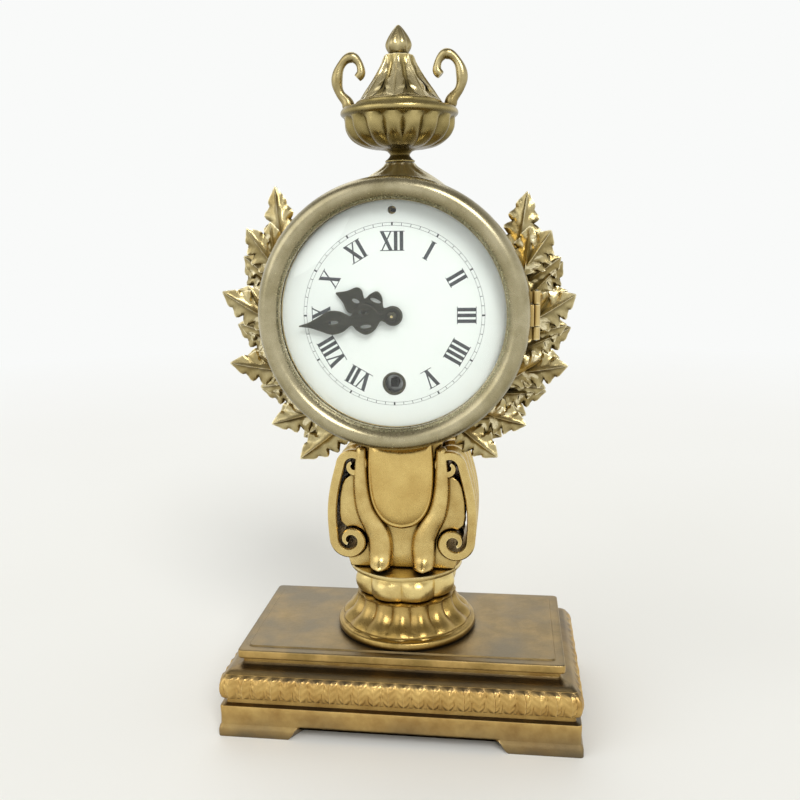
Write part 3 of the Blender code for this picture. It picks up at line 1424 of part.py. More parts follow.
def escapement():
    """Escape wheel, lever and balance behind the back plate, under the balance cock."""
    at = on_dial(escape_place)
    outline = []
    facing = toward(escape_place, lever_place) + math.pi / ESCAPE_TEETH
    pitch = FULL_TURN / ESCAPE_TEETH
    tooth_shares = [(1.0, 0.0), (0.74, 0.10), (0.74, 0.75)]
    for i in range(ESCAPE_TEETH):
        for out, shift in tooth_shares:
            angle = facing + pitch * (i + shift)
            outline.append((ESCAPE_RADIUS * out * math.cos(angle), ESCAPE_RADIUS * out * math.sin(angle)))
    low = escape_level - ESCAPE_THICKNESS
    body = piece("escape_wheel", prism(outline, low, escape_level), BRASS, at, UPRIGHT)
    phase = gap_phase(toward(fourth_place, escape_place), FOURTH_LEAVES)
    middle = fourth_level + WHEEL_THICKNESS / 2
    outline = pinion_outline(FOURTH_LEAVES, fourth_module, phase)
    head = prism(outline, middle - PINION_LENGTH / 2, middle + PINION_LENGTH / 2)
    out = PLATE_THICKNESS + GAP
    thin = FOURTH_LEAVES * fourth_module / 2 - LEAF_SINK_SHARE * fourth_module
    profile = [
        (0, low - GAP * 2),
        (PIVOT_RADIUS, low - GAP * 2),
        (PIVOT_RADIUS, back_plate_ahead + GAP),
        (thin, back_plate_ahead + GAP),
        (thin, front_plate_back - GAP),
        (PIVOT_RADIUS, front_plate_back - GAP),
        (PIVOT_RADIUS, front_plate_back + out),
        (0, front_plate_back + out),
    ]
    shaft = piece("escape_arbor", lathe(profile, HOLE_SIDES, closed=False), None, at, UPRIGHT)
    join(body, piece("escape_pinion", head, None, at, UPRIGHT), shaft)

    at = on_dial(lever_place)
    to_escape = toward(lever_place, escape_place)
    span = math.radians(52)
    clear = ESCAPE_RADIUS + PALLET_CLEARANCE
    tip = (ESCAPE_TO_LEVER - clear * math.cos(span), clear * math.sin(span))
    unit = LEVER_TO_BALANCE
    fork_shares = [(-0.72, 0.31), (-0.445, 0.31), (-0.33, 0.12), (-0.235, 0.12), (0.0, 0.47)]
    pallet_shares = [(-0.08, 0.157), (0.157, 0.08), (-0.04, -0.08)]
    slot_shares = [(-0.72, -0.157), (-0.445, -0.157), (-0.445, 0.157), (-0.72, 0.157)]
    outline = [(unit * a, unit * b) for a, b in fork_shares]
    outline += [(tip[0] + unit * a, tip[1] + unit * b) for a, b in pallet_shares]
    outline += [(unit * 0.235, unit * 0.165)]
    mirror = [(x, -y) for x, y in outline[::-1]]
    slot = [(unit * a, unit * b) for a, b in slot_shares]
    shape = prism(outline + mirror + slot, low, escape_level)
    lever = piece("lever", turned(shape, "Z", to_escape), STEEL, at, UPRIGHT)
    pin = rod(PIVOT_RADIUS, low - GAP * 2, back_plate_ahead, HOLE_SIDES)
    join(lever, piece("lever_arbor", pin, None, at, UPRIGHT))

    at = on_dial(balance_place)
    rim_low = balance_level - WHEEL_THICKNESS
    rim = lathe(
        [
            (BALANCE_RADIUS * 0.86, rim_low),
            (BALANCE_RADIUS, rim_low),
            (BALANCE_RADIUS, balance_level),
            (BALANCE_RADIUS * 0.86, balance_level),
        ],
        SMALL_STEPS,
    )
    wheel = piece("balance_wheel", rim, BRASS, at, UPRIGHT)
    spoke = BALANCE_RADIUS * 0.93
    bar = block(-spoke, spoke, -BALANCE_BAR / 2, BALANCE_BAR / 2, rim_low + GAP / 2, balance_level - GAP / 2)
    staff = rod(PIVOT_RADIUS, cock_level - COCK_THICKNESS, back_plate_ahead, HOLE_SIDES)
    roller = rod(LEVER_TO_BALANCE * 0.34, balance_level - GAP, low - GAP * 2, BORE_SIDES)
    pin = moved(rod(GAP * 0.8, balance_level, escape_level - GAP, HOLE_SIDES), x=-LEVER_TO_BALANCE * 0.20)
    turned(pin, "Z", toward(balance_place, lever_place) + math.pi)
    join(
        wheel,
        piece("balance_bar", bar, None, at, UPRIGHT),
        piece("balance_staff", staff, None, at, UPRIGHT),
        piece("balance_roller", roller, None, at, UPRIGHT),
        piece("impulse_pin", pin, None, at, UPRIGHT),
    )

    steps = TINY_STEPS * HAIRSPRING_TURNS
    line = []
    for i in range(steps + 1):
        spread = PIVOT_RADIUS + GAP * 3 + BALANCE_RADIUS / 2 * i / steps
        angle = FULL_TURN * HAIRSPRING_TURNS * i / steps
        line.append((spread * math.cos(angle), spread * math.sin(angle)))
    band = ribbon(line, [HAIRSPRING_THICKNESS] * len(line))
    coil = prism(band, hairspring_level - HAIRSPRING_HEIGHT, hairspring_level)
    piece("hairspring", coil, STEEL, at, UPRIGHT)


def balance_cock():
    """Cock with a foot on the back plate, and the stud block that holds the hairspring's end."""
    bx, by = balance_place
    away = toward(escape_place, balance_place)
    reach = BALANCE_RADIUS + COCK_CLEARANCE
    foot_place = (bx + reach * math.cos(away), by + reach * math.sin(away))
    foot_radius = COCK_FOOT
    low = cock_level - COCK_THICKNESS
    arm_half, nose = COCK_WIDTH / 2, COCK_NOSE
    outline = []
    for i in range(9):
        angle = math.pi / 2 + math.pi * i / 8
        outline.append((nose * math.cos(angle), nose * math.sin(angle)))
    outline += [(nose, -arm_half), (reach, -foot_radius), (reach + foot_radius, -foot_radius * 0.7)]
    outline += [(reach + foot_radius, foot_radius * 0.7), (reach, foot_radius), (nose, arm_half)]
    arm = turned(prism(outline, low, cock_level), "Z", away)
    cock = piece("balance_cock", arm, BRASS, on_dial(balance_place), UPRIGHT)
    foot = rod(foot_radius * 0.8, cock_level - GAP, back_plate_back - GAP, BORE_SIDES)
    stud_line = PIVOT_RADIUS + GAP * 3 + BALANCE_RADIUS / 2
    stud = block(stud_line + GAP, stud_line + 4 * GAP, -GAP * 2, GAP * 2, cock_level - GAP, hairspring_level)
    join(
        cock,
        piece("cock_foot", foot, None, on_dial(foot_place), UPRIGHT),
        piece("hairspring_stud", turned(stud, "Z", away), None, on_dial(balance_place), UPRIGHT),
    )
    hole = rod(PIVOT_RADIUS + GAP, low - OVERRUN, cock_level + OVERRUN, HOLE_SIDES)
    cut(cock, piece("cock_hole", hole, None, on_dial(balance_place), UPRIGHT))


def regulator():
    """Regulator: arbor reached through the dial, its pinion, and the toothed index on the cock."""
    at = on_dial(regulator_place)
    to_index = toward(regulator_place, balance_place)
    high = index_level
    low = index_level - WHEEL_THICKNESS
    shaft = rod(ARBOR_RADIUS, low - GAP, dial_back - GAP, HOLE_SIDES)
    head = prism(pinion_outline(INDEX_LEAVES, index_module, to_index), low, high)
    body = piece("regulator_arbor", head, STEEL, at, UPRIGHT)
    square = prism(circle(ARBOR_RADIUS * 1.4, 4, math.pi / 4), dial_back - 3 * GAP, dial_rim - GAP)
    shaft_piece = piece("regulator_shaft", shaft, None, at, UPRIGHT)
    join(body, shaft_piece, piece("regulator_square", square, None, at, UPRIGHT))

    at = on_dial(balance_place)
    out = toward(balance_place, regulator_place)
    pitch = FULL_TURN / INDEX_TEETH
    root = (INDEX_TEETH / 2 - WHEEL_SINK_SHARE) * index_module
    tip = (INDEX_TEETH / 2 + WHEEL_RISE_SHARE) * index_module
    count = 7
    outline = []
    for i in range(count):
        middle = out + pitch * (i - (count - 1) / 2 + 0.5)
        half = pitch / 2 * TOOTH_ROOT_SHARE
        for radius, angle in ((root, middle - half), (tip, middle), (root, middle + half)):
            outline.append((radius * math.cos(angle), radius * math.sin(angle)))
    inner = root * 0.86
    spread = pitch * (count / 2 - 0.6)
    collar = INDEX_COLLAR
    for angle in (out + spread, out + spread * 0.2):
        outline.append((inner * math.cos(angle), inner * math.sin(angle)))
    for i in range(9):
        angle = out + math.radians(24) + (FULL_TURN - math.radians(48)) * i / 8
        outline.append((collar * math.cos(angle), collar * math.sin(angle)))
    for angle in (out - spread * 0.2, out - spread):
        outline.append((inner * math.cos(angle), inner * math.sin(angle)))
    index = piece("regulator_index", prism(outline, low, high), STEEL, at, UPRIGHT)
    hole = rod(PIVOT_RADIUS + 2 * GAP, low - OVERRUN, high + OVERRUN, HOLE_SIDES)
    cut(index, piece("index_hole", hole, None, at, UPRIGHT))


def motion_work():
    """Cannon pinion, minute wheel and hour wheel between the front plate and the dial."""
    at = on_dial()
    direction = toward(centre_place, minute_place)
    low = cannon_level
    pinion_high = minute_wheel_level + WHEEL_THICKNESS + GAP
    head = prism(pinion_outline(CANNON_TEETH, MOTION_MODULE, direction), low, pinion_high)
    cannon = piece("cannon_pinion", head, STEEL, at, UPRIGHT)
    pipe = rod(CANNON_RADIUS, low, minute_hand_level + HAND_THICKNESS, BORE_SIDES)
    bore = rod(CANNON_BORE, low - OVERRUN, minute_hand_level + OVERRUN, HOLE_SIDES)
    join(cannon, piece("cannon_pipe", pipe, None, at, UPRIGHT))
    cut(cannon, piece("cannon_bore", bore, None, at, UPRIGHT))

    here = on_dial(minute_place)
    outline = wheel_outline(MINUTE_TEETH, MOTION_MODULE, direction + math.pi + math.pi / MINUTE_TEETH)
    shape = prism(outline, minute_wheel_level, minute_wheel_level + WHEEL_THICKNESS)
    wheel = piece("minute_wheel", shape, BRASS, here, UPRIGHT)
    top = hour_wheel_level + WHEEL_THICKNESS + GAP / 2
    outline = pinion_outline(MINUTE_LEAVES, MOTION_MODULE, direction + math.pi)
    leaves = prism(outline, minute_wheel_level + GAP, top)
    stud = rod(PIVOT_RADIUS, front_plate_back, top - GAP, HOLE_SIDES)
    leaves_piece = piece("minute_leaves", leaves, None, here, UPRIGHT)
    join(wheel, leaves_piece, piece("minute_stud", stud, None, here, UPRIGHT))

    outline = wheel_outline(HOUR_TEETH, MOTION_MODULE, direction + math.pi / HOUR_TEETH)
    shape = prism(outline, hour_wheel_level, hour_wheel_level + WHEEL_THICKNESS)
    hour = piece("hour_wheel", shape, BRASS, at, UPRIGHT)
    top = hour_hand_level + HAND_THICKNESS
    pipe = rod(HOUR_PIPE_RADIUS, hour_wheel_level + GAP, top, BORE_SIDES)
    bore = rod(HOUR_PIPE_BORE, hour_wheel_level - OVERRUN, top + OVERRUN, BORE_SIDES)
    join(hour, piece("hour_pipe", pipe, None, at, UPRIGHT))
    cut(hour, piece("hour_bore", bore, None, at, UPRIGHT))


for old in list(bpy.data.objects):
    bpy.data.objects.remove(old, do_unlink=True)

base_casting()
base_slab()
pedestal_foot()
console_block()
shield_panel()
side_scrolls()
saddle()
tie_rod()
drum_case()
door_hinge("bezel_hinge_leaf", 1, "bezel_hinge_pin")
door_hinge("rear_hinge_leaf", -1, "rear_hinge_pin")
front_bezel()
rear_cover()
dial_and_pan()
crest()
urn()
branches()
hands()
plates()
barrel()
ratchet_work()
train()
escapement()
balance_cock()
regulator()
motion_work()
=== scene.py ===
from math import asin, atan2, cos, exp, hypot, pi, radians, sin, sqrt, tan

import bmesh
import bpy
from mathutils import Matrix, Vector


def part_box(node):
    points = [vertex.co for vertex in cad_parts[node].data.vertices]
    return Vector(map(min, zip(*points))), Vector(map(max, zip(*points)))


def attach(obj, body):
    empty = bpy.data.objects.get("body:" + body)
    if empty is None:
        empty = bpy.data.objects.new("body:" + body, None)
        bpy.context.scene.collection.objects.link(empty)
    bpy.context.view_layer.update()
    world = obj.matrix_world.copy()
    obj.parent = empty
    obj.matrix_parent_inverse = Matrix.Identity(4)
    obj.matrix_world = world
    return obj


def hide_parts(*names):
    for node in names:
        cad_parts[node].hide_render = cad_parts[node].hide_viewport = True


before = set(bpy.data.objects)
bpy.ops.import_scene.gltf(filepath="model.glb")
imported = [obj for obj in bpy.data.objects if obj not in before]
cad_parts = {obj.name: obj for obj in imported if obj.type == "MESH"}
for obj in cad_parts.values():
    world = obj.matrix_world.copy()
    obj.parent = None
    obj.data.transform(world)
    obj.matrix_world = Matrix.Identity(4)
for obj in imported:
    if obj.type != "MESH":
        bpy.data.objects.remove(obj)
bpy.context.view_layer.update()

scene = bpy.context.scene
FULL = 2 * pi


# Floor, backdrop and view: the clock stands on a pale sheet in a light room and is seen
# from a little above and to the right. Colours are sRGB hex turned to linear by one function,
# one function adds a node with its settings and links, and four more build on it.
PALE = "#f9faf9"
FLOOR_RADIUS = 3.0
FADE_START = 0.25
FADE_END = 1.1
CAMERA_LENS = 38.25
CAMERA_PLACE = (0.0385, -0.309, 0.180)
CAMERA_TURN = radians(7.4)
CAMERA_TILT = radians(11)
CAMERA_ROLL = radians(-0.8)


def linear(code):
    parts = [int(code[i : i + 2], 16) / 255 for i in (1, 3, 5)]
    return tuple(p / 12.92 if p <= 0.04045 else ((p + 0.055) / 1.055) ** 2.4 for p in parts) + (1,)


def add(tree, kind, inputs=None, **settings):
    node = tree.nodes.new("ShaderNode" + kind)
    for name, value in settings.items():
        setattr(node, name, value)
    for name, value in (inputs or {}).items():
        if isinstance(value, bpy.types.NodeSocket):
            tree.links.new(value, node.inputs[name])
        else:
            node.inputs[name].default_value = value
    return node


def noise(tree, coords, scale, detail, roughness=0.5):
    """Cloudy noise, its scale in patches per metre."""
    inputs = {"Vector": coords, "Scale": scale, "Detail": detail, "Roughness": roughness}
    return add(tree, "TexNoise", inputs).outputs["Fac"]


def ranged(tree, value, low, high, to_low=0.0, to_high=1.0):
    """A value carried from one range to another and kept inside it."""
    inputs = {"Value": value, "From Min": low, "From Max": high, "To Min": to_low, "To Max": to_high}
    return add(tree, "MapRange", inputs).outputs["Result"]


def mixed(tree, share, first, second):
    """Two colours mixed by a share of the second."""
    inputs = {"Factor": share, "A": first, "B": second}
    return add(tree, "Mix", inputs, data_type="RGBA").outputs["Result"]


def joined(tree, operation, first, second):
    """One number made of two."""
    return add(tree, "Math", {0: first, 1: second}, operation=operation).outputs[0]


def empty_material(name):
    new = bpy.data.materials.new(name)
    new.use_nodes = True
    new.node_tree.nodes.clear()
    return new, new.node_tree


def looked_at(tree):
    """One for rays of the camera and of mirrors and glass, nought for rays that only light."""
    ray = add(tree, "LightPath").outputs
    seen = joined(tree, "MAXIMUM", ray["Is Camera Ray"], ray["Is Transmission Ray"])
    return joined(tree, "MAXIMUM", seen, ray["Is Glossy Ray"])


# A matt paper sheet: even and pale, it takes the clock's soft shadow and fades into the wall.
paper, tree = empty_material("matt_paper_sheet")
coords = add(tree, "TexCoord").outputs["Object"]
tone = mixed(tree, noise(tree, coords, 3.0, 2.0), linear("#eeede7"), linear("#f5f5f1"))
sheet = add(tree, "BsdfPrincipled", {"Base Color": tone, "Roughness": 0.9})
away = add(tree, "VectorMath", {0: coords}, operation="LENGTH").outputs["Value"]
share = joined(tree, "MULTIPLY", ranged(tree, away, FADE_START, FADE_END), looked_at(tree))
glow = add(tree, "Emission", {"Color": linear(PALE), "Strength": 1.0})
blend = add(tree, "MixShader", {"Fac": share, 1: sheet.outputs[0], 2: glow.outputs[0]})
add(tree, "OutputMaterial", {"Surface": blend.outputs[0]})

bm = bmesh.new()
bmesh.ops.create_circle(bm, cap_ends=True, radius=FLOOR_RADIUS, segments=64)
floor_mesh = bpy.data.meshes.new("floor")
bm.to_mesh(floor_mesh)
bm.free()
floor = bpy.data.objects.new("floor", floor_mesh)
floor.data.materials.append(paper)
scene.collection.objects.link(floor)

# The room: pale walls at eye level and a greyer ceiling, which the gilding mirrors.
world = bpy.data.worlds.new("light_room")
scene.world = world
world.use_nodes = True
tree = world.node_tree
tree.nodes.clear()
way = add(tree, "TexCoord").outputs["Generated"]
height = add(tree, "SeparateXYZ", {"Vector": way}).outputs["Z"]
walls = mixed(tree, ranged(tree, height, 0.30, 0.80), linear(PALE), linear("#8f8d88"))
room = add(tree, "Background", {"Color": linear("#f4f4f2"), "Strength": 0.60})
sky = add(tree, "Background", {"Color": walls, "Strength": 1.0})
shown = add(tree, "MixShader", {"Fac": looked_at(tree), 1: room.outputs[0], 2: sky.outputs[0]})
add(tree, "OutputWorld", {"Surface": shown.outputs[0]})

# Three wide, soft lights: the way each comes from, its breadth in degrees and its strength.
for name, place, breadth, power in (
    ("key_sun", (0.45, -0.95, 0.85), 26, 1.30),
    ("fill_sun", (-0.90, -0.75, 0.65), 50, 0.55),
    ("back_sun", (-0.20, 0.80, 0.90), 45, 0.52),
):
    lamp = bpy.data.lights.new(name, "SUN")
    lamp.angle = radians(breadth)
    lamp.energy = power
    holder = bpy.data.objects.new(name, lamp)
    holder.rotation_euler = (-Vector(place)).to_track_quat("-Z", "Y").to_euler()
    scene.collection.objects.link(holder)

camera = bpy.data.cameras.new("camera")
camera.lens = CAMERA_LENS
camera.sensor_width = 36
eye = bpy.data.objects.new("camera", camera)
facing = Matrix.Rotation(CAMERA_TURN, 4, "Z") @ Matrix.Rotation(pi / 2 - CAMERA_TILT, 4, "X")
eye.matrix_world = Matrix.Translation(CAMERA_PLACE) @ facing @ Matrix.Rotation(CAMERA_ROLL, 4, "Z")
scene.collection.objects.link(eye)
scene.camera = eye
scene.view_settings.view_transform = "Standard"


# Finishes: cast brass, mercury gilded and worn. Edges that stand proud are rubbed to bright
# gold under a painted highlight, a brown patina with painted shade sits in the hollows, painted
# shade darkens every face that looks down, and a fine sand-cast grain breaks the gloss. Grain is
# 0.5 mm, coarser than the real 0.1 mm so that it shows.
# Reach of the rubbed wear and painted highlight on proud edges.
EDGE_WEAR_AND_HIGHLIGHT = 0.0006
# Share of its tone that a face looking down keeps under painted shade.
UNDERSIDE_SHADE_TONE_LEFT = 0.30
CLOUDS = 110.0
GLOSS_SPREAD = 0.16
LOW_DUST = 0.013
DUST_DRIFTS = 45.0


def gilt(name, colours, gloss, grain, depth, hollow, dust=None):
    """A metal's finish. Its colours are the rubbed edge with its painted highlight, two close tones,
    and the patina, which is also the painted shade in hollows and on faces that look down. Gloss is
    its least roughness. Grain and depth are the breadth and height of its grain, and hollow is how
    near a wall must be to shelter patina and painted shade, all in metres. Dust is a film's colour."""
    rubbed_highlight, gold, warm, patina_and_shade = (linear(code) for code in colours.split())
    new, tree = empty_material(name)
    coords = add(tree, "TexCoord").outputs["Object"]
    cloud = noise(tree, coords, CLOUDS, 4.0, 0.6)
    sand = noise(tree, coords, 1 / grain, 2.0)
    tone = mixed(tree, ranged(tree, cloud, 0.35, 0.65), gold, warm)
    facing = add(tree, "NewGeometry").outputs["Normal"]
    upward = add(tree, "SeparateXYZ", {"Vector": facing}).outputs["Z"]
    # Patina and painted shade: the patina colour gathers wherever walls are near.
    open_air = add(tree, "AmbientOcclusion", {"Distance": hollow}, samples=8).outputs["AO"]
    clear_of_patina_and_shade = ranged(tree, open_air, 0.20, 0.85)
    # Painted shade: faces that look down take the patina colour.
    underside_shading = ranged(tree, upward, -0.75, -0.10, UNDERSIDE_SHADE_TONE_LEFT)
    skin = mixed(tree, joined(tree, "MULTIPLY", clear_of_patina_and_shade, underside_shading), patina_and_shade, tone)
    # Proud edges take the rubbed colour: part wear, part painted highlight.
    reach = {"Distance": EDGE_WEAR_AND_HIGHLIGHT}
    body = add(tree, "AmbientOcclusion", reach, samples=8, inside=True, only_local=True)
    thin = ranged(tree, body.outputs["AO"], 0.90, 0.50)
    proud = ranged(tree, open_air, 0.80, 0.98)
    colour = mixed(tree, joined(tree, "MULTIPLY", thin, proud), skin, rubbed_highlight)
    if dust:
        flat = ranged(tree, upward, 0.4, 0.9)
        level = add(tree, "SeparateXYZ", {"Vector": coords}).outputs["Z"]
        low = ranged(tree, level, LOW_DUST, 0.0)
        film = ranged(tree, noise(tree, coords, DUST_DRIFTS, 3.0), 0.35, 0.60, 0.50, 0.95)
        settled = joined(tree, "MULTIPLY", joined(tree, "MAXIMUM", flat, low), film)
        colour = mixed(tree, settled, colour, linear(dust))
    dull = ranged(tree, sand, 0.0, 1.0, gloss, gloss + GLOSS_SPREAD)
    swell = add(tree, "Bump", {"Height": cloud, "Strength": 0.5, "Distance": depth * 3})
    relief = {"Height": sand, "Normal": swell.outputs["Normal"], "Strength": 0.6, "Distance": depth}
    look = {"Base Color": colour, "Metallic": 1.0, "Roughness": dull}
    look["Normal"] = add(tree, "Bump", relief).outputs["Normal"]
    shader = add(tree, "BsdfPrincipled", look)
    add(tree, "OutputMaterial", {"Surface": shader.outputs["BSDF"]})
    return new


# Sand-cast and gilded: warm gold, with patina and painted shade dark in the chasing.
cast_gilt = gilt(
    "mercury_gilded_cast_brass", "#fbe9b4 #dac17f #c3a769 #6e5526", 0.20, 0.0005, 0.00008, 0.0038
)
# The console: the same gold, with a longer reach of patina and painted shade, darkest between its legs.
console_gilt = gilt(
    "chased_gilded_cast_brass", "#fbe9b4 #dfc684 #c2a566 #604819", 0.20, 0.0005, 0.00008, 0.0070
)
# The knop: a brighter copy of the gold that paints its highlights, with light patina and little painted shade
# even underneath.
knop_gilt = gilt(
    "highlight_brightened_gilded_brass", "#fff3c8 #ebd592 #d4bb7c #a08646", 0.22, 0.0005, 0.00008, 0.0025
)
# The crest: pale rubbed gold.
crest_gilt = gilt("pale_gilded_brass", "#faf3dc #ece1bc #d2c598 #8d7c50", 0.26, 0.0005, 0.00006, 0.003)
# The socle: a darker copy of the same gold, under more patina and painted shade.
socle_gilt = gilt("browned_gilded_brass", "#ecd59a #bfa264 #9d8248 #493510", 0.22, 0.0005, 0.00008, 0.005)
# The base: orange gold, with grey dust on its ledges and low on its feet.
base_gilt = gilt(
    "worn_gilded_cast_brass", "#e6c888 #d2b06c #b08c50 #5c451b", 0.26, 0.0006, 0.0001, 0.004, "#6a6252"
)
# The slab: gold on its edges under a film of grey dust.
dusty_gilt = gilt(
    "dusty_gilded_brass", "#e2c788 #c2a163 #987e49 #4d3a16", 0.32, 0.0006, 0.0001, 0.004, "#7d735f"
)
# Chased leaves: paler gold, with patina and painted shade between the leaves.
leaf_gilt = gilt("chased_gilded_brass", "#f6ebc6 #c3b588 #998758 #4a3a14", 0.22, 0.0004, 0.00006, 0.004)
# The urn's bowl and lid: olive gold, dark underneath with patina and painted shade.
urn_gilt = gilt("underside_shaded_gilded_brass", "#f6e6b4 #b8a670 #948452 #3e341a", 0.20, 0.0005, 0.00006, 0.006)
# Turned and burnished ring: smooth olive-grey gold.
ring_gilt = gilt("burnished_gilded_brass", "#d6ccae #b8ae8e #9f9574 #5f5634", 0.20, 0.001, 0.00001, 0.0007)
# Burnished field of the shield and pressed rear cover: clear gold.
shield_gilt = gilt("polished_gilded_brass", "#f0dc9c #dcbf78 #cbac68 #6b5014", 0.20, 0.001, 0.00001, 0.003)
# Sheet brass under clear lacquer: even yellow, hardly any grain.
plain_brass = gilt("lacquered_sheet_brass", "#e6d29c #cbb072 #bfa263 #5b4720", 0.24, 0.0004, 0.00001, 0.002)
# Polished steel of arbors, springs and screws: cool and even.
grey_steel = gilt("polished_steel", "#d4d6d8 #b4b6b8 #a2a4a6 #2a2b2c", 0.22, 0.0004, 0.00001, 0.003)
# Blackened steel of the winding square: nearly black.
black_steel = gilt("blackened_steel", "#3a3c3c #151717 #101212 #060707", 0.35, 0.0004, 0.00001, 0.003)
# Bronzed steel of the hands and the eyelet: brown-black, a little gloss.
dark_bronze = gilt("bronzed_steel_hands", "#5d594a #403f35 #333229 #1e1b12", 0.34, 0.0004, 0.00002, 0.001)


# Base: a hollow brass casting on four bracket feet, sand cast in one and gilded. Its round
# band is chased with a row of leaves, tips down, and a dart between each two.
LEAF_PITCH = 0.0055
LEAF_RELIEF = 0.0010
EDGE_SPACING = 0.0004


def between(p, q, r, s, t):
    """A value at share t of the way from q to r, on a curve that heeds p and s too."""
    square, cube = (2 * p - 5 * q + 4 * r - s) * t**2, (3 * q - p - 3 * r + s) * t**3
    return 0.5 * (2 * q + (r - p) * t + square + cube)


def flowing(points, steps=6):
    """A smooth line through the points."""
    ends = [points[0], *points, points[-1]]
    line = [tuple(points[0])]
    for a, b, c, d in zip(ends, ends[1:], ends[2:], ends[3:]):
        for i in range(1, steps + 1):
            line.append(tuple(between(p, q, r, s, i / steps) for p, q, r, s in zip(a, b, c, d)))
    return line


def laid(columns, rows, place):
    """A sheet of quads laid by a formula of two shares from 0 to 1; meeting edges merge."""
    bm = bmesh.new()
    bmesh.ops.create_grid(bm, x_segments=columns, y_segments=rows, size=0.5)
    for vert in bm.verts:
        vert.co = place(vert.co.x + 0.5, vert.co.y + 0.5)
    bmesh.ops.remove_doubles(bm, verts=bm.verts, dist=1e-6)
    return bm


def gather(whole, part, place=Matrix()):
    """Put a part in its place and add it to a whole."""
    bmesh.ops.transform(part, matrix=place, verts=part.verts)
    mesh = bpy.data.meshes.new("part")
    part.to_mesh(mesh)
    part.free()
    whole.from_mesh(mesh)
    bpy.data.meshes.remove(mesh)


def add_piece(name, bm, finish, slot_name, *nodes, body="clock_frame", sharp=35):
    """A piece of the object, smooth but for its sharp edges, that stands for the named nodes."""
    bmesh.ops.recalc_face_normals(bm, faces=bm.faces)
    mesh = bpy.data.meshes.new(name)
    bm.to_mesh(mesh)
    bm.free()
    mesh.shade_smooth()
    mesh.set_sharp_from_angle(angle=radians(sharp))
    mesh.materials.append(finish)
    new = bpy.data.objects.new(name, mesh)
    scene.collection.objects.link(new)
    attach(new, body)
    if nodes:
        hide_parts(*nodes)


def closed(bm):
    """Fill the open ends of a shape."""
    bmesh.ops.holes_fill(bm, edges=[e for e in bm.edges if e.is_boundary])
    return bm


def scaled(shares, radius, height, base=0.0):
    """Points of a profile from shares of its radius and of its height above a base."""
    return [(radius * a, base + height * b) for a, b in shares]


LEAF_NOTCH = 0.38
LEAF_SLANT = 0.7
LEAF_MIDRIB = 0.14


def leaf(length, breadth, lobes, curl, cup, thick, relief=0.18, rows=24, columns=12):
    """A chased leaf along +x that faces +z: lobed edge, midrib, veins, and a tip that curls back."""

    def place(u, v):
        side = 2 * u - 1
        ridge = abs(sin(pi * (lobes * v - LEAF_SLANT * abs(side))))
        between_lobes = 1 - abs(sin(pi * (lobes * v - LEAF_SLANT)))
        notch = 1 - LEAF_NOTCH * between_lobes * sin(pi * v)
        swell = sin(pi * min(v**0.75, 1)) ** 0.8
        half = breadth / 2 * max(swell * notch, 0.04)
        midrib = 0.8 * exp(-((side / LEAF_MIDRIB) ** 2))
        height = relief * breadth * swell * (0.7 * ridge * abs(side) + midrib)
        height -= cup * breadth * side**2 * swell
        bend = curl * v
        along = length * (sin(bend) / curl if curl else v)
        drop = length * (1 - cos(bend)) / curl if curl else 0
        return along + height * sin(bend), side * half, height * cos(bend) - drop

    bm = laid(columns, rows, place)
    if thick:
        bmesh.ops.solidify(bm, geom=bm.faces[:], thickness=-thick)
    return bm


def rectangle_line(half_x, half_y, corner, spacing):
    """Stations round a rectangle with rounded corners: a core point, the way it faces, and how
    far it lies along its side as a share from 0 to 1."""
    line = []
    for quarter in range(4):
        turn = Matrix.Rotation(quarter * pi / 2, 2)
        a, b = half_x - corner, half_y - corner
        if quarter % 2:
            a, b = b, a
        count = round(2 * a / spacing)
        for i in range(count):
            line.append((turn @ Vector((-a + 2 * a * i / count, -b)), turn @ Vector((0, -1)), i / count, a))
        for i in range(4):
            angle = pi / 2 * i / 4
            line.append((turn @ Vector((a, -b)), turn @ Vector((sin(angle), -cos(angle))), 1.0, a))
    return line


def moulding(half_x, half_y, corner, spacing, profile, rise=lambda x, y: 0, relief=lambda share, a, level: 0):
    """A rectangular moulding from (inset, height) points; nothing of it hangs below the rise."""
    line = rectangle_line(half_x, half_y, corner, spacing)

    def place(u, v):
        core, face, share, a = line[round(u * len(line)) % len(line)]
        inset, height = profile[round(v * (len(profile) - 1))]
        inset -= relief(share, a, height)
        x = core.x * (1 - inset / (half_x - corner)) + face.x * corner
        y = core.y * (1 - inset / (half_y - corner)) + face.y * corner
        return x, y, max(height, rise(core.x + face.x * corner, core.y + face.y * corner))

    return closed(laid(len(line), len(profile) - 1, place))


low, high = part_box("base_casting")
base_top = high.z
wall = high.x / 6
foot_x, foot_y = high.x * 0.394, high.x * 0.303
apron, ogee = base_top * 0.165, base_top * 0.15
OUTER_FACE = 0.98


def apron_rise(x, y):
    """The arched lower edge between the bracket feet."""
    share = 0
    if abs(y) > high.y * OUTER_FACE:
        share = min(1, max(high.x - foot_x - abs(x), 0) / ogee)
    if abs(x) > high.x * OUTER_FACE:
        share = max(share, min(1, max(high.y - foot_y - abs(y), 0) / ogee))
    return apron * (3 * share**2 - 2 * share**3)


foot = [(0.0, 0.0), (0.0, 0.09), (0.004, 0.13), (0.0115, 0.165)]
rail = [(0.0115, 0.17), (0.0125, 0.29), (0.0115, 0.41), (0.020, 0.435), (0.039, 0.45), (0.0395, 0.51)]
ovolo = [(0.0235, 0.53), (0.0155, 0.62), (0.0170, 0.72), (0.0285, 0.81), (0.0394, 0.85)]
cavetto = [(0.0394, 0.855), (0.062, 0.895), (0.095, 0.915), (0.112, 0.93)]
lip = [(0.1212, 0.955), (0.1212, 1.0), (0.2, 1.0)]


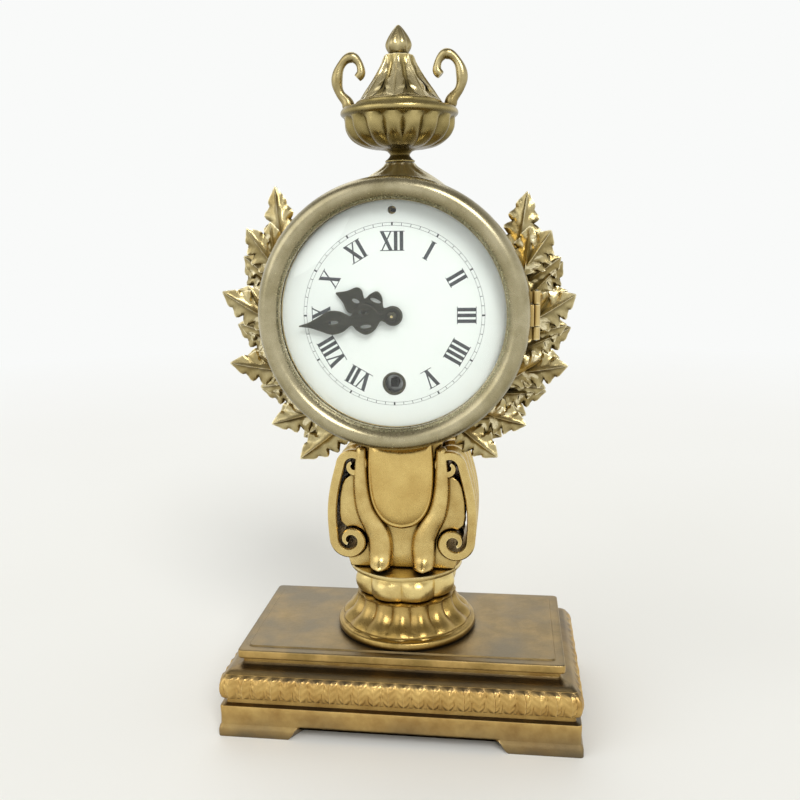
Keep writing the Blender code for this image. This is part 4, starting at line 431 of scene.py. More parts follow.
def leaf_relief(share, a, height):
    """How far the chased band stands out: a round-tipped leaf with a midrib, and darts between."""
    down = (ovolo[-1][1] - height) / (ovolo[-1][1] - ovolo[0][1])
    if not 0 < down < 1:
        return 0
    count = round(2 * a / LEAF_PITCH)
    side = abs(2 * (share * count % 1) - 1)
    half = 0.90 * sqrt(max(1 - down**3.5, 0))
    fade = min(1, down / 0.12, (1 - down) / 0.05)
    dart = 0.35 * max(0, 1 - (1 - side) / 0.22) * min(1, down / 0.3)
    if side >= half:
        return LEAF_RELIEF * dart * fade
    round_back = sqrt(1 - (side / half) ** 2)
    midrib = 0.35 * max(0, 1 - side / 0.13)
    vein = 0.10 * sin(2 * pi * (3.5 * down + 0.9 * side)) * min(1, side / 0.2)
    return LEAF_RELIEF * fade * (0.62 * round_back + midrib + vein)


foot, rail, ovolo, cavetto, lip = (
    scaled(shares, high.x, base_top) for shares in (foot, rail, ovolo, cavetto, lip)
)
ovolo = flowing(ovolo, 7)
profile = [(wall, base_top * 0.87), (wall, 0.0), *foot, *flowing(rail, 2)]
profile += ovolo + flowing(cavetto, 4) + lip
plinth = moulding(high.x, high.y, high.x * 0.02, EDGE_SPACING, profile, apron_rise, leaf_relief)
add_piece("base_plinth", plinth, base_gilt, "aged_gilt_brass", "base_casting")


# Slab: a cast and gilded plate with a rounded edge and a slightly raised field. It lies on the
# casting, held by the tie rod, and grey dust has settled on it.
low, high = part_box("base_slab")
edge, border, step = (high.z - low.z) / 5, high.x * 0.054, (high.z - low.z) / 8
ledge = high.z - step
round_over = [(edge, low.z), (edge * 0.2, low.z + edge * 0.5), (0, low.z + edge * 1.4)]
round_over += [(0, ledge - edge * 1.4), (edge * 0.2, ledge - edge * 0.3), (edge, ledge)]
profile = [(edge * 3, low.z), *flowing(round_over, 3), (border, ledge), (border + step, high.z)]
slab = moulding(high.x, high.y, high.x * 0.025, high.x / 12, [*profile, (border * 2, high.z)])
add_piece("slab_plate", slab, dusty_gilt, "aged_gilt_brass", "base_slab")


# Pedestal: a round petalled socle, a lobed knop and the console, threaded on one tie rod.
# The lobes are pressed into turned shapes, as a founder carves them in the pattern.
def spun(profile, steps):
    """A turned shape about z from (radius, height) points."""
    bm = bmesh.new()
    verts = [bm.verts.new((radius, 0, height)) for radius, height in profile]
    edges = [bm.edges.new(pair) for pair in zip(verts, verts[1:])]
    about = {"cent": (0, 0, 0), "axis": (0, 0, 1), "angle": FULL}
    bmesh.ops.spin(bm, geom=verts + edges, steps=steps, use_merge=True, **about)
    bmesh.ops.remove_doubles(bm, verts=bm.verts, dist=1e-6)
    return bm


def lobed(bm, low_z, high_z, count, depth, power, phase=0.0):
    """Press upright lobes into a turned shape between two heights."""
    for vert in bm.verts:
        if low_z < vert.co.z < high_z:
            angle = atan2(vert.co.y, vert.co.x)
            fade = sin(pi * (vert.co.z - low_z) / (high_z - low_z)) ** power
            pressed = 1 - depth * fade * (1 - abs(cos(count * (angle - phase) / 2)))
            vert.co.x *= pressed
            vert.co.y *= pressed
    return bm


low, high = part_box("foot_socle")
r, h = high.x / 1.015, high.z - low.z
bead = [(1.0, 0.0), (1.015, 0.06), (1.015, 0.13), (1.0, 0.19), (0.955, 0.22)]
petals = [(0.945, 0.25), (0.95, 0.30), (0.91, 0.40), (0.82, 0.54), (0.76, 0.70), (0.735, 0.84)]
petals += [(0.725, 0.94)]
profile = [(0, low.z)] + scaled(flowing(bead, 3) + flowing(petals, 4), r, h, low.z)
profile += [(r * 0.73, high.z - h * 0.03), (r * 0.70, high.z), (0, high.z)]
socle = lobed(spun(profile, 160), low.z + h * 0.22, high.z + h * 0.02, count=16, depth=0.10, power=0.7)
add_piece("socle_petals", socle, socle_gilt, "gilt_brass", "foot_socle")

low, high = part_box("stem")
r, h = high.x * 0.884, high.z - low.z
body_shares = [(0.93, 0.0), (0.98, 0.06), (1.03, 0.20), (1.05, 0.38), (1.03, 0.55), (0.98, 0.68)]
body_shares += [(0.96, 0.75)]
neck_shares = [(0.98, 0.78), (1.05, 0.83), (1.12, 0.86)]
profile = [(0, low.z)] + scaled(flowing(body_shares, 4) + flowing(neck_shares, 3), r, h, low.z)
profile += [(high.x, low.z + h * 0.89), (high.x, high.z - h * 0.02), (high.x * 0.99, high.z), (0, high.z)]
turn = pi / 8
knop = spun(profile, 192)
lobed(knop, low.z - h * 0.06, low.z + h * 0.78, count=8, depth=0.15, power=0.4, phase=turn)
add_piece("stem_knop", knop, knop_gilt, "gilt_brass", "stem")


# Console: a waisted block cast with two rounded legs on its front. They run down beside the
# shield, draw in below it and stand side by side on the stem.
def prism(outline, back_y, front_y, soft):
    """A front-view outline of (x, z) points given depth, its long edges rounded."""
    bm = bmesh.new()
    face = bm.faces.new([bm.verts.new((x, back_y, z)) for x, z in outline])
    grown = bmesh.ops.extrude_face_region(bm, geom=[face])
    moved = [v for v in grown["geom"] if isinstance(v, bmesh.types.BMVert)]
    bmesh.ops.translate(bm, vec=(0, front_y - back_y, 0), verts=moved)
    rims = [e for e in bm.edges if abs(e.verts[0].co.y - e.verts[1].co.y) < soft / 10]
    bmesh.ops.bevel(bm, geom=rims, offset=soft, segments=3, profile=0.5, affect="EDGES", material=-1)
    return bm


SCROLL_BAND = 0.0034
TOP_VOLUTE = 0.0050
LOW_VOLUTE = 0.0060
VOLUTE_TURNS = 1.15
EYE_SHARE = 0.27
POCKET_GAP = 0.0003
low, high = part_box("scroll_right")


def volute_share(turns):
    """How much of its first radius a volute has left after a count of turns."""
    return 1 - (1 - EYE_SHARE) * turns / VOLUTE_TURNS


def band_share(turns):
    """The band thins toward the eye of its volute."""
    return 0.40 + 0.60 * min(1, (1 - turns / VOLUTE_TURNS) / 0.6)


def on_volute(centre, radius, turns, upward):
    """The point at this radius after a count of turns; upward is -1 where a volute winds down."""
    x, z = radius * cos(FULL * turns), radius * sin(FULL * turns)
    return centre[0] + x, centre[1] + upward * z


low_centre = (
    high.x - LOW_VOLUTE - SCROLL_BAND * 0.62,
    low.z + LOW_VOLUTE * volute_share(1 / 4) + SCROLL_BAND / 2,
)
top_centre = (
    low_centre[0] - LOW_VOLUTE / 3,
    high.z - TOP_VOLUTE * volute_share(1 / 4) - SCROLL_BAND / 2,
)


def pocket(centre, volute, upward, first, last, count=14):
    """The edge of the block that follows a volute with a small gap, between two counts of turns."""
    edge = []
    for i in range(count + 1):
        turns = first + (last - first) * i / count
        radius = volute * volute_share(turns) + SCROLL_BAND / 2 * band_share(turns) + POCKET_GAP
        edge.append(on_volute(centre, radius, turns, upward))
    return edge


def heading(line, j):
    """The way a line of points runs at its point j."""
    before, after = Vector(line[max(j - 1, 0)]), Vector(line[min(j + 1, len(line) - 1)])
    return (after - before).normalized()


low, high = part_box("console_body")
front = -high.y
h = high.z - low.z
heel = [(0.83, 0.0), (0.873, 0.076)]
waist = [(0.98, 0.352), (1.0, 0.42), (0.99, 0.54), (0.95, 0.64), (0.90, 0.69)]
cap = [(0.594, 0.955), (0.639, 0.971), (0.639, 1.0)]
heel, waist, cap = (scaled(shares, high.x, h, low.z) for shares in (heel, waist, cap))
right_side = heel + pocket(low_centre, LOW_VOLUTE, -1, 0.25, 0.80) + waist
right_side += pocket(top_centre, TOP_VOLUTE, 1, 0.80, 0.33) + cap
CONSOLE_EDGE = 0.0006
console = prism(right_side + [(-x, z) for x, z in right_side[::-1]], high.y, front, CONSOLE_EDGE)
LEG_DEPTH = 0.0037
LEG_RIDGE = 0.10
RIDGE_WIDTH = 0.35
TOE_SWELL = 0.85
TOE_PLACE = 0.88
TOE_RUN = 0.08
leg_shares = [(0.62, 0.95), (0.62, 0.93), (0.63, 0.78), (0.62, 0.60), (0.56, 0.45), (0.44, 0.34)]
leg_shares += [(0.36, 0.25), (0.34, 0.16), (0.34, 0.08), (0.34, 0.02), (0.34, 0.004)]
leg_line = flowing(scaled(leg_shares, high.x, h, low.z), 6)
leg_width_shares = (0.02, 0.09, 0.12, 0.145, 0.165, 0.18, 0.19, 0.20, 0.19, 0.17, 0.04)
leg_width = flowing([(a, 0) for a in leg_width_shares], 6)
leg_last = len(leg_line) - 1


def leg_place(u, v):
    """A rounded leg: its width follows its run, a shallow ridge runs down its middle, and its toe
    swells forward on the stem."""
    j = round(v * leg_last)
    along = heading(leg_line, j)
    wide, around = high.x * leg_width[j][0], FULL * u
    ridge = 1 + LEG_RIDGE * exp(-((cos(around) / RIDGE_WIDTH) ** 2))
    x, z = Vector(leg_line[j]) + Vector((-along.y, along.x)) * wide * cos(around)
    toe = 1 + TOE_SWELL * exp(-(((v - TOE_PLACE) / TOE_RUN) ** 2))
    return x, front - min(wide, LEG_DEPTH) * sin(around) * ridge * toe, z


for side in (1, -1):
    gather(console, closed(laid(28, leg_last, leg_place)), Matrix.Scale(side, 4, (1, 0, 0)))
add_piece("console_block", console, console_gilt, "gilt_brass", "console_body")

# Shield: a plain swelling field, cast alone, filed and burnished bright. Its edge drops into
# a dark groove between the console's legs, and two hidden screws hold it from behind.
SHIELD_LONGER = 0.0038
SHIELD_CROWN = 0.6
low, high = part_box("shield_panel")
base_z = low.z - SHIELD_LONGER
half, h, ahead = high.x, high.z - base_z, high.y - low.y
edge_shares = [(0.0, 0.0), (0.36, 0.03), (0.66, 0.12), (0.88, 0.27), (0.98, 0.46), (1.0, 0.72), (0.96, 1.0)]
right_side = flowing(edge_shares, 5)
outline = right_side + [(0.5, 0.985), (0, 0.965), (-0.5, 0.985)] + [(-x, z) for x, z in right_side[:0:-1]]
swell_shares = [(0.0, 0.0), (0.0, 0.35), (0.02, 0.52), (0.05, 0.60), (0.08, 0.58), (0.10, 0.62), (0.16, 0.78)]
swell_shares += [(0.26, 0.90), (0.42, 0.96), (0.6, 0.985), (0.8, 1.0), (1.0, 1.0)]


def shield_place(u, v):
    """The field rises from its edge and narrows toward its crown."""
    x, z = outline[round(u * len(outline)) % len(outline)]
    inset, out = swell_shares[round(v * (len(swell_shares) - 1))]
    height = base_z + h * (z + (SHIELD_CROWN - z) * inset)
    return half * x * (1 - inset), high.y - ahead * out, height


shield = closed(laid(len(outline), len(swell_shares) - 1, shield_place))
add_piece("shield_face", shield, shield_gilt, "gilt_brass", "shield_panel")

# Scrolls: a cast band at each side of the console, rolled into a volute at both ends, with
# three flutes along its outer face. Each is pinned to the block from behind.
low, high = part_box("scroll_right")
steps = 40
line = []
for i in range(steps + 1):
    inward = VOLUTE_TURNS * (1 - i / steps)
    line.append(on_volute(top_centre, TOP_VOLUTE * volute_share(inward), inward, 1))
start, end = line[steps], (low_centre[0] + LOW_VOLUTE, low_centre[1])
for i in range(1, steps // 2):
    share = 2 * i / steps
    bow = sin(pi * share) * SCROLL_BAND / 2
    line.append((start[0] + (end[0] - start[0]) * share + bow, start[1] + (end[1] - start[1]) * share))
for i in range(steps + 1):
    inward = VOLUTE_TURNS * i / steps
    line.append(on_volute(low_centre, LOW_VOLUTE * volute_share(inward), inward, -1))
last = len(line) - 1

FLUTE_STEPS = 60
FLUTE_MIDDLES = (-0.62, 0.0, 0.62)
FLUTE_HALF = 0.25
FLUTE_DEPTH = 0.30
section = []
for i in range(FLUTE_STEPS + 1):
    across = 2 * i / FLUTE_STEPS - 1
    flute = max(0, *(1 - ((across - middle) / FLUTE_HALF) ** 2 for middle in FLUTE_MIDDLES))
    section.append((across * 0.97, 0.5 - FLUTE_DEPTH * flute))
section += [(1.0, 0.36), (1.0, -0.38), (0.96, -0.5), (-0.96, -0.5), (-1.0, -0.38), (-1.0, 0.36)]


def scroll_place(u, v):
    """The band's cross section carried along the scroll's line."""
    j = round(v * last)
    wide = SCROLL_BAND * band_share(VOLUTE_TURNS * (1 - min(j, last - j, steps) / steps))
    across, out = section[round(u * len(section)) % len(section)]
    along = heading(line, j)
    point = Vector(line[j]) + Vector((-along.y, along.x)) * out * wide
    return point.x, across * high.y, point.y


def add_pair(piece, bm, finish, node):
    """A shape made for the right side, and its mirror image at the left."""
    for name, side in (("right", 1), ("left", -1)):
        copy = bm.copy()
        bmesh.ops.transform(copy, matrix=Matrix.Scale(side, 4, (1, 0, 0)), verts=copy.verts)
        add_piece(f"{piece}_{name}", copy, finish, "gilt_brass", f"{node}_{name}")
    bm.free()


add_pair("console_scroll", closed(laid(len(section), last, scroll_place)), cast_gilt, "scroll")

# Saddle: a cast block whose hollow top takes the drum. The tie rod passes through it and a nut
# inside the drum draws case, console and base together.
BAND_RISE = 0.0009
SADDLE_EDGE = 0.0004
gap = 0.0003
low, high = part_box("saddle")
dial_low, dial_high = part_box("dial")
dial_z = (dial_low.z + dial_high.z) / 2
drum_low, drum_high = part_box("drum_case")
drum_radius = drum_high.x - BAND_RISE
seat_radius = drum_radius + gap
reach = asin(high.x / seat_radius)
arc = [reach * (1 - i / 8) for i in range(17)]
shoulder = low.z + (high.z - low.z) * 0.3
outline = [(-high.x * 0.9, low.z), (high.x * 0.9, low.z), (high.x, shoulder)]
outline += [(seat_radius * sin(a), dial_z - seat_radius * cos(a)) for a in arc]
outline.append((-high.x, shoulder))
saddle = prism(outline, high.y, low.y, SADDLE_EDGE)
add_piece("drum_saddle", saddle, cast_gilt, "gilt_brass", "saddle")


# Drum: a case spun from brass sheet and gilded, with a band at each rim and a ring inside on
# which the dial pan seats. It rests in the saddle, drawn down by the tie rod.
def upright(bm):
    """Turn a shape made along z, the viewer's way up, to face the front from the dial's middle."""
    bmesh.ops.rotate(bm, matrix=Matrix.Rotation(pi / 2, 3, "X"), verts=bm.verts)
    bmesh.ops.translate(bm, vec=(0, 0, dial_z), verts=bm.verts)
    return bm


DRUM_STEPS = 160
DRUM_WALL = 0.0015
BAND_WIDTH = 0.0032
SEAT_BACK, SEAT_FRONT, SEAT_STEP = 0.0217, 0.0229, 0.0030
ahead, behind = -drum_low.y, -drum_high.y
inner = drum_radius - DRUM_WALL
seat, proud = inner - SEAT_STEP, drum_radius + BAND_RISE
hem = [(drum_radius, 0), (proud, 0.3 * BAND_WIDTH), (proud, 0.7 * BAND_WIDTH), (drum_radius, BAND_WIDTH)]
profile = [(inner, ahead), *[(r, ahead - z) for r, z in flowing(hem, 4)]]
profile += [(r, behind + z) for r, z in flowing(hem, 4)[::-1]]
profile += [(inner, behind), (inner, SEAT_BACK), (seat, SEAT_BACK), (seat, SEAT_FRONT)]
profile += [(inner, SEAT_FRONT), (inner, ahead)]
add_piece("drum_shell", upright(spun(profile, DRUM_STEPS)), cast_gilt, "gilt_brass", "drum_case")

# Bezel: a turned half-round ring, burnished, with a rebate for the glass. It swings on its
# hinge at the right.
BEZEL_LIP = 0.0024
low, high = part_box("front_bezel")
glass_low, glass_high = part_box("glass")
back = ahead + gap
r, sill, depth = -low.x, glass_high.x - BEZEL_LIP, -low.y - back
round_shares = [(0.0, 0.0), (0.0, 0.35), (0.05, 0.62), (0.20, 0.88), (0.42, 1.0), (0.66, 0.97)]
round_shares += [(0.86, 0.80), (0.95, 0.64)]
outer = [(r + (sill - r) * a, back + depth * b) for a, b in flowing(round_shares, 4)]
shoulder = back + depth * 0.42
rebate = glass_high.x + gap
profile = [*outer, (sill, back + depth * 0.60), (sill, shoulder)]
profile += [(rebate, shoulder), (rebate, back), (r, back)]
bezel = upright(spun(profile, DRUM_STEPS))
add_piece("bezel_ring", bezel, ring_gilt, "gilt_brass", "front_bezel", body="bezel")

# Knuckles: two short brass tubes, each with a lug. One is soldered to the bezel and one to the
# rear cover, and each turns with its door on a hinge pin.
KNUCKLE_RADIUS = 0.0013
KNUCKLE_HALF = 0.0035
PIN_BORE = 0.0008
LUG_START = 0.0005
LUG_DEPTH = 0.0012
LUG_EDGE = 0.0002
hinge_low, hinge_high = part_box("bezel_hinge_pin")
knuckle_x, knuckle_y = (hinge_low.x + hinge_high.x) / 2, (hinge_low.y + hinge_high.y) / 2
rear_low, rear_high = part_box("rear_hinge_pin")
rear_y = (rear_low.y + rear_high.y) / 2
for name, place_y, lug_y, body in (
    ("bezel", knuckle_y, (-back - depth * 0.34, -back), "bezel"),
    ("rear", rear_y, (-behind + gap, -behind + gap + LUG_DEPTH), "rear_door"),
):
    tube = [(PIN_BORE, -KNUCKLE_HALF), (KNUCKLE_RADIUS, -KNUCKLE_HALF), (KNUCKLE_RADIUS, KNUCKLE_HALF)]
    tube += [(PIN_BORE, KNUCKLE_HALF), (PIN_BORE, -KNUCKLE_HALF)]
    knuckle = spun(tube, 24)
    bmesh.ops.translate(knuckle, vec=(knuckle_x, place_y, dial_z), verts=knuckle.verts)
    inside, outside = drum_radius + LUG_START, knuckle_x - PIN_BORE
    corners = [(inside, dial_z - KNUCKLE_HALF), (outside, dial_z - KNUCKLE_HALF)]
    corners += [(x, z + 2 * KNUCKLE_HALF) for x, z in corners[::-1]]
    gather(knuckle, prism(corners, *lug_y, LUG_EDGE))
    add_piece(f"{name}_knuckle", knuckle, plain_brass, "gilt_brass", body=body)

# Glass: a thin domed clock glass, slumped over a mould, its flat rim in the bezel's rebate.
# Clear and smooth; light that only casts shadows passes straight through it.
GLASS_LIP = 0.0017
GLASS_THICK = 0.0009
sight, rim = glass_high.x - GLASS_LIP, -glass_high.y
dome = -glass_low.y - rim - GLASS_THICK
curve = [(sight * i / 12, rim + GLASS_THICK + dome * (1 - (i / 12) ** 2)) for i in range(13)]
profile = [*curve, (glass_high.x, rim + GLASS_THICK), (glass_high.x, rim)]
profile += [(a, b - GLASS_THICK) for a, b in curve[::-1]]
clear, tree = empty_material("domed_clock_glass")
look = {"Base Color": linear("#fbfdfb"), "Roughness": 0.0, "IOR": 1.45, "Transmission Weight": 1.0}
shell = add(tree, "BsdfPrincipled", look).outputs[0]
open_way = add(tree, "BsdfTransparent", {"Color": linear("#fafcfa")}).outputs[0]
shadow = add(tree, "LightPath").outputs["Is Shadow Ray"]
through = add(tree, "MixShader", {"Fac": shadow, 1: shell, 2: open_way}).outputs[0]
add(tree, "OutputMaterial", {"Surface": through})
add_piece("glass_dome", upright(spun(profile, 96)), clear, "clear_glass", "glass", body="bezel", sharp=60)

# Glass ring and dial pan: two turned rings of lacquered brass. The first, behind the glass,
# holds it in the bezel. The second sits in the drum and carries the dial.
PAN_SEAT = 0.0045
PAN_PLATE = 0.0012
low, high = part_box("glass_ring")
profile = [(sill, -high.y), (high.x, -high.y), (high.x, -low.y), (sill, -low.y), (sill, -high.y)]
holder = upright(spun(profile, 96))
add_piece("glass_holder", holder, plain_brass, "lacquered_brass", "glass_ring", body="bezel")
low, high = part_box("dial_pan")
seat, lip, floor_y = inner - PAN_SEAT, dial_high.x + gap, PAN_PLATE - high.y
profile = [(seat, -high.y), (high.x, -high.y), (high.x, -low.y), (lip, -low.y)]
profile += [(lip, floor_y), (seat, floor_y), (seat, -high.y)]
add_piece("enamel_pan", upright(spun(profile, 96)), plain_brass, "lacquered_brass", "dial_pan")


# Dial: white enamel fired on a domed copper disc, with black painted Roman numerals that
# all face the middle, and a fine minute track. The winding hole takes the place of VI.
DIAL_PLATE = 0.0015
DIAL_DOME = 0.0010
CENTRE_HOLE = 0.0026
WINDING_HOLE = 0.0032
REGULATOR_HOLE = 0.0014
dial_back = -dial_high.y
winding_low, winding_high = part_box("winding_arbor")
regulator_low, regulator_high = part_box("regulator_arbor")
winding_y = (winding_low.z + winding_high.z) / 2 - dial_z
regulator_y = (regulator_low.z + regulator_high.z) / 2 - dial_z


def dial_ahead(radius):
    """How far ahead the dial's face is at this distance from its middle."""
    return dial_back + DIAL_PLATE + DIAL_DOME * (1 - (radius / dial_high.x) ** 2)


def dial_place(u, v):
    """A domed disc laid in rings from its middle out."""
    radius = dial_high.x * v
    return radius * cos(FULL * u), radius * sin(FULL * u), dial_ahead(radius)


face = laid(200, 90, dial_place)
for hole_y, radius in ((0, CENTRE_HOLE), (winding_y, WINDING_HOLE), (regulator_y, REGULATOR_HOLE)):
    centre = Vector((0, hole_y))
    inside = [f for f in face.faces if (f.calc_center_median().xy - centre).length < radius]
    bmesh.ops.delete(face, geom=inside, context="FACES")
    for vert in face.verts:
        away = vert.co.xy - centre
        if vert.is_boundary and away.length < radius * 1.6:
            vert.co.xy = centre + away.normalized() * radius
bmesh.ops.solidify(face, geom=face.faces[:], thickness=-DIAL_PLATE * 0.8)
# Fired enamel: cool white, glossy, with a faint ripple where the glaze pooled.
enamel, tree = empty_material("fired_white_enamel")
coords = add(tree, "TexCoord").outputs["Object"]
pool = noise(tree, coords, 60.0, 2.0)
tone = mixed(tree, pool, linear("#f7f9f6"), linear("#f0f4f2"))
ripple = add(tree, "Bump", {"Height": pool, "Strength": 0.2, "Distance": 0.0001})
glaze = {"Base Color": tone, "Roughness": 0.12, "Normal": ripple.outputs["Normal"]}
shader = add(tree, "BsdfPrincipled", glaze)
add(tree, "OutputMaterial", {"Surface": shader.outputs["BSDF"]})
add_piece("enamel_dial", upright(face), enamel, "white_enamel", "dial")

# Eyelet: a turned ring of bronzed steel pressed into the winding hole, where it guards the
# enamel from the key. Its flange lies on the dial.
EYELET_BORE = 0.0030
EYELET_NECK = 0.0031
EYELET_FLANGE = 0.0040
EYELET_RISE = 0.00025
enamel_top = dial_ahead(-winding_y)
eyelet_top, eyelet_foot = enamel_top + EYELET_RISE, enamel_top - EYELET_RISE
profile = [(EYELET_BORE, dial_back), (EYELET_BORE, enamel_top), (EYELET_BORE * 1.08, eyelet_top)]
profile += [(EYELET_FLANGE * 0.94, eyelet_top), (EYELET_FLANGE, enamel_top), (EYELET_FLANGE, eyelet_foot)]
profile += [(EYELET_NECK, eyelet_foot), (EYELET_NECK, dial_back), (EYELET_BORE, dial_back)]
eyelet = spun(profile, 48)
bmesh.ops.translate(eyelet, vec=(0, winding_y, 0), verts=eyelet.verts)
add_piece("winding_eyelet", upright(eyelet), dark_bronze, "bronzed_steel")

# Numerals and minute track: black paint laid on with a fine brush and fired into the enamel.
# Blue-black and glossy, worn a little greyer in fine patches.
ink, tree = empty_material("fired_black_paint")
coords = add(tree, "TexCoord").outputs["Object"]
tone = mixed(tree, noise(tree, coords, 900.0, 3.0), linear("#24262a"), linear("#4b4e52"))
shader = add(tree, "BsdfPrincipled", {"Base Color": tone, "Roughness": 0.25})
add(tree, "OutputMaterial", {"Surface": shader.outputs["BSDF"]})

INK = 0.00005
NUMERAL_MIDDLE = 0.0245
NUMERAL_HEIGHT = 0.0062
SERIF_HALF = 0.02
TRACK = 0.0295
TRACK_WIDTH = 0.0010
TRACK_LINE = 0.00005
TRACK_STEPS = 240
HOUR_MARK = (0.00028, 0.0011)
MINUTE_MARK = (0.00009, 0.0009)
# Strokes of each letter in shares of the numeral's height: x at the top, x at the bottom, and
# stroke width; then how wide the letter is.
STROKES = {
    "I": ([(0.0, 0.0, 0.19)], 0.31),
    "V": ([(-0.22, 0.0, 0.20), (0.22, 0.0, 0.08)], 0.67),
    "X": ([(-0.24, 0.24, 0.20), (0.24, -0.24, 0.08)], 0.69),
}


def inked(bm, corners, angle):
    """A painted quad on the dial. Its corners stand across and out along the angle's radius."""
    out = Vector((cos(angle), sin(angle)))
    across = Vector((sin(angle), -cos(angle)))
    points = [across * x + out * y for x, y in corners]
    bm.faces.new([bm.verts.new((p.x, p.y, dial_ahead(p.length) + INK)) for p in points])


def bar(half, low_y, high_y):
    """The corners of a bar that stands on its radius, this half breadth to either side."""
    return [(-half, low_y), (half, low_y), (half, high_y), (-half, high_y)]


paint = bmesh.new()
hours = ("XII", "I", "II", "III", "IIII", "V", None, "VII", "VIII", "IX", "X", "XI")
for hour, letters in enumerate(hours):
    if letters is None:
        continue
    angle = pi / 2 - FULL * hour / 12
    total = sum(STROKES[letter][1] for letter in letters)
    x = -total / 2
    for letter in letters:
        strokes, wide = STROKES[letter]
        for x_top, x_bottom, thick in strokes:
            at_top, at_bottom = x + wide / 2 + x_top, x + wide / 2 + x_bottom
            corners = [(at_bottom - thick / 2, -0.5), (at_bottom + thick / 2, -0.5)]
            corners += [(at_top + thick / 2, 0.5), (at_top - thick / 2, 0.5)]
            corners = scaled(corners, NUMERAL_HEIGHT, NUMERAL_HEIGHT, NUMERAL_MIDDLE)
            inked(paint, corners, angle)
        x += wide
    for level in (0.5, -0.5):
        low_y = NUMERAL_MIDDLE + NUMERAL_HEIGHT * (level - SERIF_HALF)
        high_y = NUMERAL_MIDDLE + NUMERAL_HEIGHT * (level + SERIF_HALF)
        inked(paint, bar(total / 2 * NUMERAL_HEIGHT, low_y, high_y), angle)
for minute in range(60):
    half, long = MINUTE_MARK if minute % 5 else HOUR_MARK
    inked(paint, bar(half, TRACK, TRACK + long), pi / 2 - FULL * minute / 60)
for radius in (TRACK, TRACK + TRACK_WIDTH):
    half = tan(pi / TRACK_STEPS) * radius
    for i in range(TRACK_STEPS):
        inked(paint, bar(half, radius - TRACK_LINE, radius + TRACK_LINE), FULL * i / TRACK_STEPS)
add_piece("dial_numerals", upright(paint), ink, "white_enamel")


# Hands: pierced and bronzed steel, the hour hand on the outer pipe and the minute hand on
# the cannon pinion. Each is filed with a rounded upper edge.
def plate(outlines, low_z, high_z, soft):
    """A pierced flat piece from an outline and its openings, with softened edges."""
    shape = bpy.data.curves.new("plate", "CURVE")
    shape.dimensions = "2D"
    shape.fill_mode = "BOTH"
    shape.extrude = (high_z - low_z) / 2 - soft
    shape.bevel_depth = soft
    shape.offset = -soft
    for outline in outlines:
        spline = shape.splines.new("POLY")
        spline.points.add(len(outline) - 1)
        spline.use_cyclic_u = True
        for point, (x, y) in zip(spline.points, outline):
            point.co = (x, y, 0, 1)
    holder = bpy.data.objects.new("plate", shape)
    bm = bmesh.new()
    mesh = bpy.data.meshes.new_from_object(holder)
    bm.from_mesh(mesh)
    bpy.data.objects.remove(holder)
    bpy.data.meshes.remove(mesh)
    bmesh.ops.remove_doubles(bm, verts=bm.verts, dist=1e-6)
    bmesh.ops.translate(bm, vec=(0, 0, (low_z + high_z) / 2), verts=bm.verts)
    return bm


def oval(x, y, long, wide, count=20):
    """Points round an ellipse."""
    angles = [FULL * i / count for i in range(count)]
    return [(x + long * cos(a), y + wide * sin(a)) for a in angles]


SOFT_EDGE = 0.00012
HOURS_SHOWN, MINUTES_SHOWN = 9, 44
# Half outlines in shares of the hand's length and of its hub, then the openings: middle along
# and across, and half lengths along and across. The loop adds length, hub and bore in metres.
hour_shares = [(0.12, 0.50), (0.19, 0.34), (0.27, 1.00), (0.38, 1.26), (0.47, 0.88), (0.53, 0.42)]
hour_shares += [(0.62, 0.92), (0.72, 0.96), (0.84, 0.46), (1.00, 0.05)]
minute_shares = [(0.08, 0.42), (0.13, 0.30), (0.20, 0.92), (0.30, 1.20), (0.39, 0.80), (0.44, 0.38)]
minute_shares += [(0.54, 0.80), (0.66, 0.92), (0.78, 0.56), (0.88, 0.24), (1.00, 0.05)]
hour_eyes = [(0.35, 0.58, 0.42, 0.14), (0.35, -0.58, 0.42, 0.14), (0.65, 0.0, 0.30, 0.15)]
minute_eyes = [(0.29, 0.57, 0.44, 0.14), (0.29, -0.57, 0.44, 0.14), (0.63, 0.0, 0.42, 0.14)]
hour_turn = radians(90 - (HOURS_SHOWN + MINUTES_SHOWN / 60) * 30)
minute_turn = radians(90 - MINUTES_SHOWN * 6)
for name, length, hub, shares, eyes, bore, turn in (
    ("hour_hand", 0.0205, 0.0045, hour_shares, hour_eyes, 0.0020, hour_turn),
    ("minute_hand", 0.0318, 0.0043, minute_shares, minute_eyes, 0.0012, minute_turn),
):
    low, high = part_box(name)
    upper = flowing(scaled(shares, length, hub), 5)
    start, radius = atan2(upper[0][1], upper[0][0]), hypot(*upper[0])
    around = [start + (FULL - 2 * start) * i / 24 for i in range(1, 24)]
    outline = upper[::-1] + [(radius * cos(a), radius * sin(a)) for a in around]
    outline += [(x, -y) for x, y in upper]
    holes = [oval(length * a, hub * b, hub * c, hub * d) for a, b, c, d in eyes]
    hand = plate([outline, *holes, oval(0, 0, bore, bore)], -high.y, -low.y, SOFT_EDGE)
    bmesh.ops.rotate(hand, matrix=Matrix.Rotation(turn, 3, "Z"), verts=hand.verts)
    add_piece(f"{name}_pierced", upright(hand), dark_bronze, "bronzed_steel", name, body=name)


